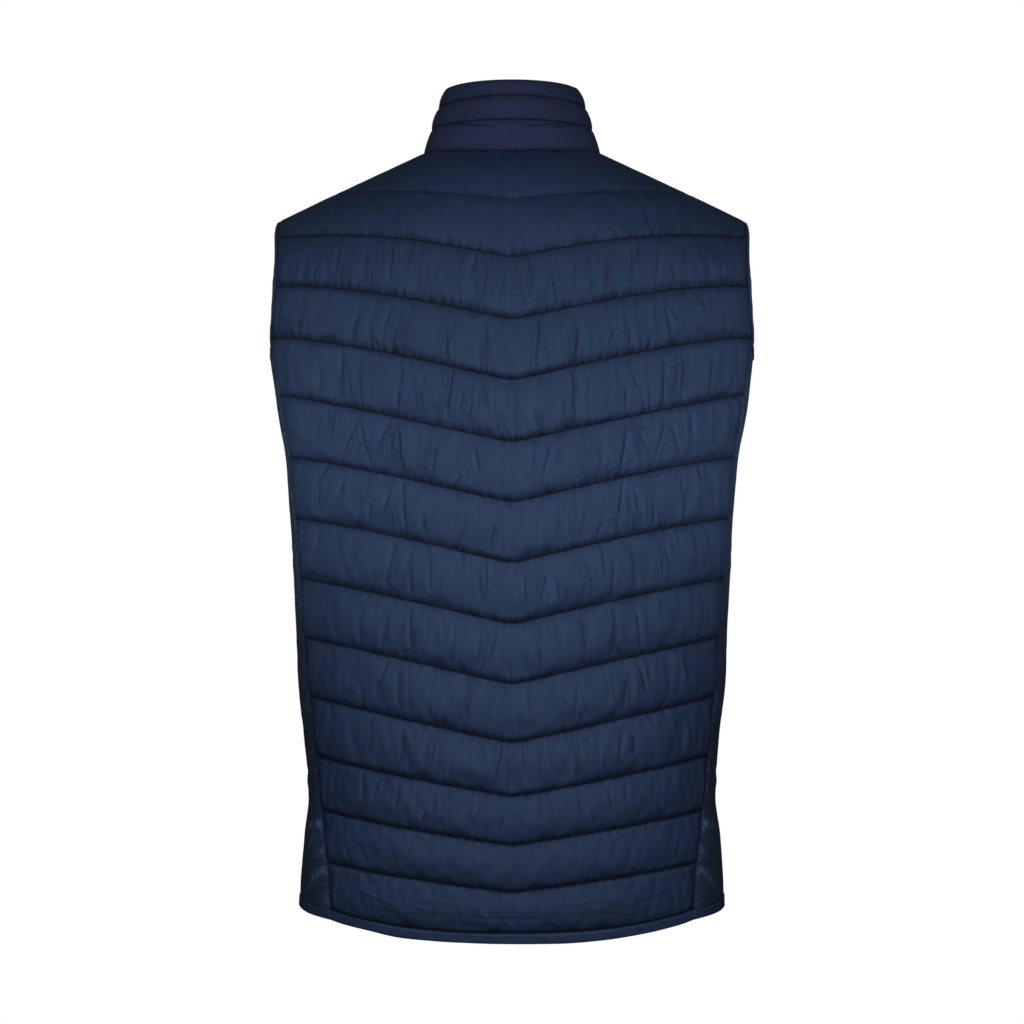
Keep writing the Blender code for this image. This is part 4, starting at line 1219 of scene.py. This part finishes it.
def foldedBand(name, node, spine, facing, away, width, seed):
    section = foldedSection(width)
    length = runAlong(spine)
    size = softNoise(length / band["pucker"][0], 0 * length, seed) * band["pucker"][1]
    wave = softNoise(length / band["wave"][0], 0 * length, seed + 1) * band["wave"][1]
    ease = smoothStep(np.minimum(length, length[-1] - length) / band["endFade"])
    size, wave = size * ease, wave * ease
    outside = np.clip(section[:, 1] / band["outside"], 0, 1)
    bottom = np.clip(section[:, 0] / width, 0, 1)
    rise = section[:, 1] + (size + wave)[:, None] * outside * np.sin(np.pi * bottom) ** 0.5
    run = section[:, 0] + wave[:, None] * bottom
    points = spine[:, None] + away[:, None] * run[..., None] + facing[:, None] * rise[..., None]
    piece = gridPiece(name, points, trimCloth, None, True)
    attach(piece, "vest")
    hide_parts(node)


def leaving(spine, facing, towards):
    # along the cloth, at right angles to its edge
    away = unit(np.cross(np.gradient(spine, axis=0), facing))
    side = np.sign(np.sum(away * towards, axis=-1, keepdims=True))
    return away * np.where(side == 0, 1, side)


downwards = np.array([0.0, 0.0, -1.0])
hemEdges = {
    "back": (backFine["points"][0], outward(backFine["points"])[0]),
    "front_left": (leftFine["points"][0], outward(leftFine["points"])[0]),
    "front_right": (rightFine["points"][0], outward(rightFine["points"])[0]),
    "side_left": (sides["left"][0][0], sides["left"][1][0]),
    "side_right": (sides["right"][0][0], sides["right"][1][0]),
}
for number, (name, (spine, facing)) in enumerate(hemEdges.items()):
    away = leaving(spine, facing, downwards)
    width, seed = band["hemWidth"], band["hemSeed"] + 3 * number
    foldedBand("hem_band_" + name, "hem_" + name, spine, facing, away, width, seed)

for name, column, fine in (("left", -1, leftFine), ("right", 0, rightFine)):
    sidePoints, sideNormals = sides[name]
    backNormals, frontNormals = outward(backFine["points"]), outward(fine["points"])
    lean = math.copysign(form["slope"], backFine["points"][-1, column, 0])
    backNormals[-1, column] = frontNormals[-1, -1] = unit(np.array([lean, 0.0, 1.0]))
    backUp = backFine["points"][underarm:, column]
    frontDown = fine["points"][underarm:, -1][::-1]
    under = sidePoints[-1][::-1]
    spine = np.concatenate([backUp, frontDown[1:], under[1:]])
    down, below = frontNormals[underarm:, -1][::-1], sideNormals[-1][::-1]
    facing = np.concatenate([backNormals[underarm:, column], down[1:], below[1:]])
    steps = runAlong(spine)
    keep = np.concatenate([[True], np.diff(steps) > 1e-5])
    spine, facing = spine[keep], unit(facing[keep])
    spine[-1], facing[-1] = spine[0], facing[0]
    away = leaving(spine, facing, np.mean(spine[:-1], axis=0) - spine)
    away[-1] = away[0] = unit(away[0] + away[-1])
    edged, binding = ["back", "front_" + name, "side_" + name], "armhole_binding_" + name
    width, seed = band["bindingWidth"], band["bindingSeed"]
    foldedBand("armhole_edge_" + name, binding, spine, facing, away, width, seed)

zipper = {
    "near": 0.0004,
    "far": 0.0160,
    "tape": 0.0010,
    "clearance": 0.0012,
    "pitch": 0.0026,
    "tooth": (0.0034, 0.0030, 0.0016),  # across, front to back and along the chain
    "toothMiddle": -0.0007,
    "toothShift": 0.0011,
    "toothTip": (1, 0.8, 0.55),  # how much smaller the tip is
    "toothBevel": 0.0003,
    "hemDrop": 0.0098,
    "bodySteps": 90,
    "standSteps": 16,
}


def frontLine():
    # the centre front from below the hem to the top of the collar
    c, z = collarForm, zipper
    neck = float(topHeight(frontPanel, frontPanel["innerX"]))
    heights = np.linspace(frontPanel["hem"], neck, z["bodySteps"])
    body = onSurface(frontPanel, 0 * heights, heights)
    drop = body[0] + unit(body[0] - body[1]) * z["hemDrop"]
    top = np.array([0, c["topFront"], c["frontHeight"]])
    stand = body[-1] + (top - body[-1]) * np.linspace(0, 1, z["standSteps"])[1:, None]
    return np.concatenate([[drop], body, stand]), body[-1], stand[-1]


def zipFront():
    z = zipper
    line, standLow, standHigh = frontLine()
    run = runAlong(line)
    tangent = unit(np.gradient(line, axis=0))
    facing = np.stack([0 * run, -tangent[:, 2], tangent[:, 1]], axis=-1)
    near, far, front, behind = z["near"], z["far"], z["clearance"], z["clearance"] + z["tape"]
    loop = np.array(((near, front), (far, front), (far, behind), (near, behind), (near, front)))
    for name, hand in (("left", 1), ("right", -1)):
        points = line[:, None] + facing[:, None] * -loop[:, 1][None, :, None]
        points[..., 0] = hand * loop[:, 0]
        piece = gridPiece("zip_tape_woven_" + name, points, tapeWeave, None, True)
        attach(piece, "vest")
        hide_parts("zip_tape_" + name)
    count = int((run[-1] - z["pitch"]) / (z["pitch"] / 2))
    places = z["pitch"] / 2 + np.arange(count) * z["pitch"] / 2
    at = pick(places, run, line)
    up = unit(pick(places, run, tangent))
    out = np.stack([0 * places, -up[:, 2], up[:, 1]], axis=-1)
    frames = np.zeros((count, 4, 4))
    side = np.where(np.arange(count) % 2 == 0, 1.0, -1.0)
    frames[:, 0, 0] = side
    frames[:, :3, 1], frames[:, :3, 2] = out, up * side[:, None]
    frames[:, :3, 3], frames[:, 3, 3] = at + out * z["toothMiddle"], 1
    bm = bmesh.new()
    bmesh.ops.create_cube(bm, size=1.0)
    bmesh.ops.scale(bm, vec=z["tooth"], verts=bm.verts)
    bmesh.ops.translate(bm, verts=bm.verts, vec=(z["toothShift"], 0, 0))
    tips = [v for v in bm.verts if v.co.x < 0]
    bmesh.ops.scale(bm, vec=z["toothTip"], verts=tips)
    roundEdges(bm, bm.edges, z["toothBevel"], 1)
    teeth = scatter("zip_teeth", bm, frames, zipPlastic)
    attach(teeth, "vest")
    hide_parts("zip_chain")
    print("zip teeth", count)
    up = unit(standHigh - standLow)
    return up, np.array([0, -up[2], up[1]])


sliderUp, sliderOut = zipFront()

slider = {
    "pivot": (0.0, -0.095072, 0.026707),  # of the pull's hinge
    "halfWidth": 0.0045,
    "halfLength": 0.0060,
    "back": 0.0005,
    "front": 0.0031,
    "flange": 0.0009,
    "flangeBack": -0.0014,
    "flangeShare": 0.9,  # of the plate's length
    "flangeSink": 0.0002,
    "flangeBevel": 0.0003,
    "bailHalfWidth": 0.0016,
    "bailHalfLength": 0.0048,
    "holeHalfLength": 0.0030,
    "holeFront": 0.0055,
    "bailFront": 0.0068,
    "axisOut": 0.0043,
    "bevel": 0.0004,
}


def block(bm, low, high, bevel):
    made = bmesh.ops.create_cube(bm, size=1.0)["verts"]
    size = [b - a for a, b in zip(low, high)]
    bmesh.ops.scale(bm, vec=size, verts=made)
    bmesh.ops.translate(bm, verts=made, vec=[(a + b) / 2 for a, b in zip(low, high)])
    edges = {edge for v in made for edge in v.link_edges}
    roundEdges(bm, list(edges), bevel, 3)


def zipSlider():
    s = slider
    bm = bmesh.new()
    w, h = s["halfWidth"], s["halfLength"]
    block(bm, (-w, -h, s["back"]), (w, h, s["front"]), s["bevel"])
    for hand in (-1, 1):
        ends = sorted((hand * w, hand * (w - s["flange"])))
        long, front = h * s["flangeShare"], s["front"] - s["flangeSink"]
        block(bm, (ends[0], -long, s["flangeBack"]), (ends[1], long, front), s["flangeBevel"])
    b, hole = s["bailHalfLength"], s["holeHalfLength"]
    half = s["bailHalfWidth"]
    block(bm, (-half, -b, s["back"]), (half, -hole, s["bailFront"]), s["bevel"])
    block(bm, (-half, hole, s["back"]), (half, b, s["bailFront"]), s["bevel"])
    block(bm, (-half, -b, s["holeFront"]), (half, b, s["bailFront"]), s["bevel"])
    turn = Matrix((Vector((1, 0, 0)), Vector(sliderUp), Vector(sliderOut))).transposed().to_4x4()
    turn.translation = Vector(s["pivot"]) - Vector(sliderOut) * s["axisOut"]
    bmesh.ops.transform(bm, matrix=turn, verts=bm.verts)
    bmesh.ops.recalc_face_normals(bm, faces=bm.faces)
    piece = meshPiece("zip_slider_body", bm, zipPlastic)
    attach(piece, "vest")
    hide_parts("zip_slider")


zipSlider()

pullTab = {
    "bar": 0.0006,
    "windowEnd": -0.0056,
    "end": -0.0270,
    "windowHalfWidth": 0.0022,
    "halfWidth": 0.0035,
    "ribs": 6,
    "ribStart": -0.0130,
    "ribStep": 0.0022,
    "ribHeight": 0.0004,
    "ribShare": 0.72,  # of the tab's width
    "ribHalf": 0.0005,
    "ribRoot": 0.0003,
    "ribBevel": 0.00015,
    "overlap": 0.0010,  # of the window's sides and the tab
    "barBevel": 0.00025,
    "tabBevel": 0.0004,
}


def zipPull():
    p = pullTab
    bm = bmesh.new()
    t, w, inner = p["bar"], p["halfWidth"], p["windowHalfWidth"]
    block(bm, (-w, -t, -t), (w, t, t), p["barBevel"])
    for hand in (-1, 1):
        ends = sorted((hand * w, hand * inner))
        block(bm, (ends[0], -t, p["windowEnd"] - p["overlap"]), (ends[1], t, t), p["barBevel"])
    block(bm, (-w, -t, p["end"]), (w, t, p["windowEnd"]), p["tabBevel"])
    wide, half = w * p["ribShare"], p["ribHalf"]
    for number in range(p["ribs"]):
        z = p["ribStart"] - number * p["ribStep"]
        low, high = (-wide, -t - p["ribHeight"], z - half), (wide, -t + p["ribRoot"], z + half)
        block(bm, low, high, p["ribBevel"])
    bmesh.ops.translate(bm, verts=bm.verts, vec=slider["pivot"])
    bmesh.ops.recalc_face_normals(bm, faces=bm.faces)
    piece = meshPiece("zip_pull_tab", bm, zipPlastic)
    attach(piece, "pull")
    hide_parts("zip_pull")


zipPull()
print("zip done")

stitching = {
    "pitch": 0.0040,
    "jitter": 0.0003,
    "length": 0.0030,
    "width": 0.00055,
    "height": 0.00040,
    "lift": 0.00015,
    "end": 0.003,  # room that a stitch needs below the top seam
}


def sewLines(name, lines, seed):
    # lock stitches laid end to end along the lines
    s = stitching
    dice = np.random.default_rng(seed)
    frames = []
    for points, normals, stop in lines:
        run = runAlong(points)
        places = np.arange(s["pitch"], run[-1] - s["pitch"], s["pitch"])
        places = places + dice.uniform(-s["jitter"], s["jitter"], len(places))
        at = pick(places, run, points)
        out = unit(pick(places, run, normals))
        tangent = pick(places, run, np.gradient(points, axis=0))
        room = np.interp(places, run, stop) > s["end"]
        frames.append(framesAlong(at + out * s["lift"], tangent, out)[room])
    bm = bmesh.new()
    bmesh.ops.create_icosphere(bm, subdivisions=1, radius=0.5)
    bmesh.ops.scale(bm, vec=(s["length"], s["width"], s["height"]), verts=bm.verts)
    piece = scatter(name, bm, np.concatenate(frames), sewingThread)
    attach(piece, "vest")
    print(name, sum(len(f) for f in frames), "stitches")


for name, fine, seed in (("back", backFine, 7), ("front_left", leftFine, 8), ("front_right", rightFine, 9)):
    lines = []
    for channel in range(1, len(quilting["lines"]) + 1):
        row = channel * perChannel
        room = np.linalg.norm(fine["outer"][-1] - fine["outer"][row], axis=-1)
        lines.append((fine["outer"][row], fine["normals"][row], room))
    sewLines("quilting_stitches_" + name, lines, seed)
collarRows = [len(collarForm["rows"]) * quilting["finerRows"] * k for k in (1, 2)]
collarLines = [(collarOuter[row], collarNormals[row], np.ones(len(collarOuter[row]))) for row in collarRows]
sewLines("collar_stitches", collarLines, 10)

ground = {"height": -1.45, "radius": 2.4, "colour": (0.80, 0.80, 0.80), "roughness": 0.8, "glow": 0.62}
bm = bmesh.new()
bmesh.ops.create_circle(bm, cap_ends=True, radius=ground["radius"], segments=96)
bmesh.ops.translate(bm, verts=bm.verts, vec=(0, 0, ground["height"]))
paleFloor = Finish("pale_floor", ground["colour"], ground["roughness"])
paleFloor.set("Emission Color", (1.0, 1.0, 1.0, 1.0))
paleFloor.set("Emission Strength", ground["glow"])
floor = meshPiece("floor", bm, paleFloor.material)
floor.visible_diffuse = floor.visible_glossy = False

studio = {
    "lamps": (  # place, aim, size, power and spread of the beam in degrees, mirrored where it isn't central
        ((0.18, 0.95, -0.42), (0.0, 0.0, -0.30), 0.35, 1.90, 180),
        ((0.12, 0.45, -0.26), (0.0, 0.0, -0.26), 0.25, 0.12, 180),
        ((0.80, 0.50, -0.22), (0.18, 0.05, -0.24), 0.2, 0.10, 30),
        ((0.85, 0.45, 0.25), (0.12, 0.02, 0.02), 0.3, 0.07, 36),
        ((0.0, 0.90, 0.45), (0.0, 0.1, -0.62), 0.4, 0.27, 40),
        ((0.0, 1.90, 1.20), (0.0, 0.0, 0.03), 0.7, 0.64, 44),
        ((0.0, -2.6, -0.45), (0.0, 0.0, -0.30), 1.4, 42.0, 180),
    ),
    "ambient": 0.05,
}


def softBox(name, place, aim, size, power, spread):
    lamp = bpy.data.lights.new(name, "AREA")
    lamp.size = size
    lamp.energy = power
    lamp.spread = math.radians(spread)
    box = bpy.data.objects.new(name, lamp)
    box.location = place
    box.rotation_euler = (Vector(aim) - box.location).to_track_quat("-Z", "Y").to_euler()
    bpy.context.scene.collection.objects.link(box)


boxes = 0
for place, aim, *rest in studio["lamps"]:
    for hand in (1, -1) if place[0] else (1,):
        softBox("soft_box_%d" % boxes, (hand * place[0], *place[1:]), (hand * aim[0], *aim[1:]), *rest)
        boxes += 1

world = bpy.data.worlds.new("white_studio")
world.use_nodes = True
bpy.context.scene.world = world
tree = world.node_tree
path = tree.nodes.new("ShaderNodeLightPath")
glow = tree.nodes["Background"]
bright = tree.nodes.new("ShaderNodeMapRange")
bright.inputs["To Min"].default_value = studio["ambient"]
bright.inputs["To Max"].default_value = 1.0
tree.links.new(path.outputs["Is Camera Ray"], bright.inputs["Value"])
tree.links.new(bright.outputs[0], glow.inputs["Strength"])
glow.inputs["Color"].default_value = (1, 1, 1, 1)
bpy.context.scene.view_settings.view_transform = "Standard"

shot = {"place": (0.0, 2.0, -0.300), "lens": 75.0, "sensor": 36.0}
camera = bpy.data.objects.new("camera", bpy.data.cameras.new("camera"))
camera.data.lens = shot["lens"]
camera.data.sensor_width = shot["sensor"]
camera.location = shot["place"]
camera.rotation_euler = (math.pi / 2, 0, math.pi)
bpy.context.scene.collection.objects.link(camera)
bpy.context.scene.camera = camera
print("studio set")
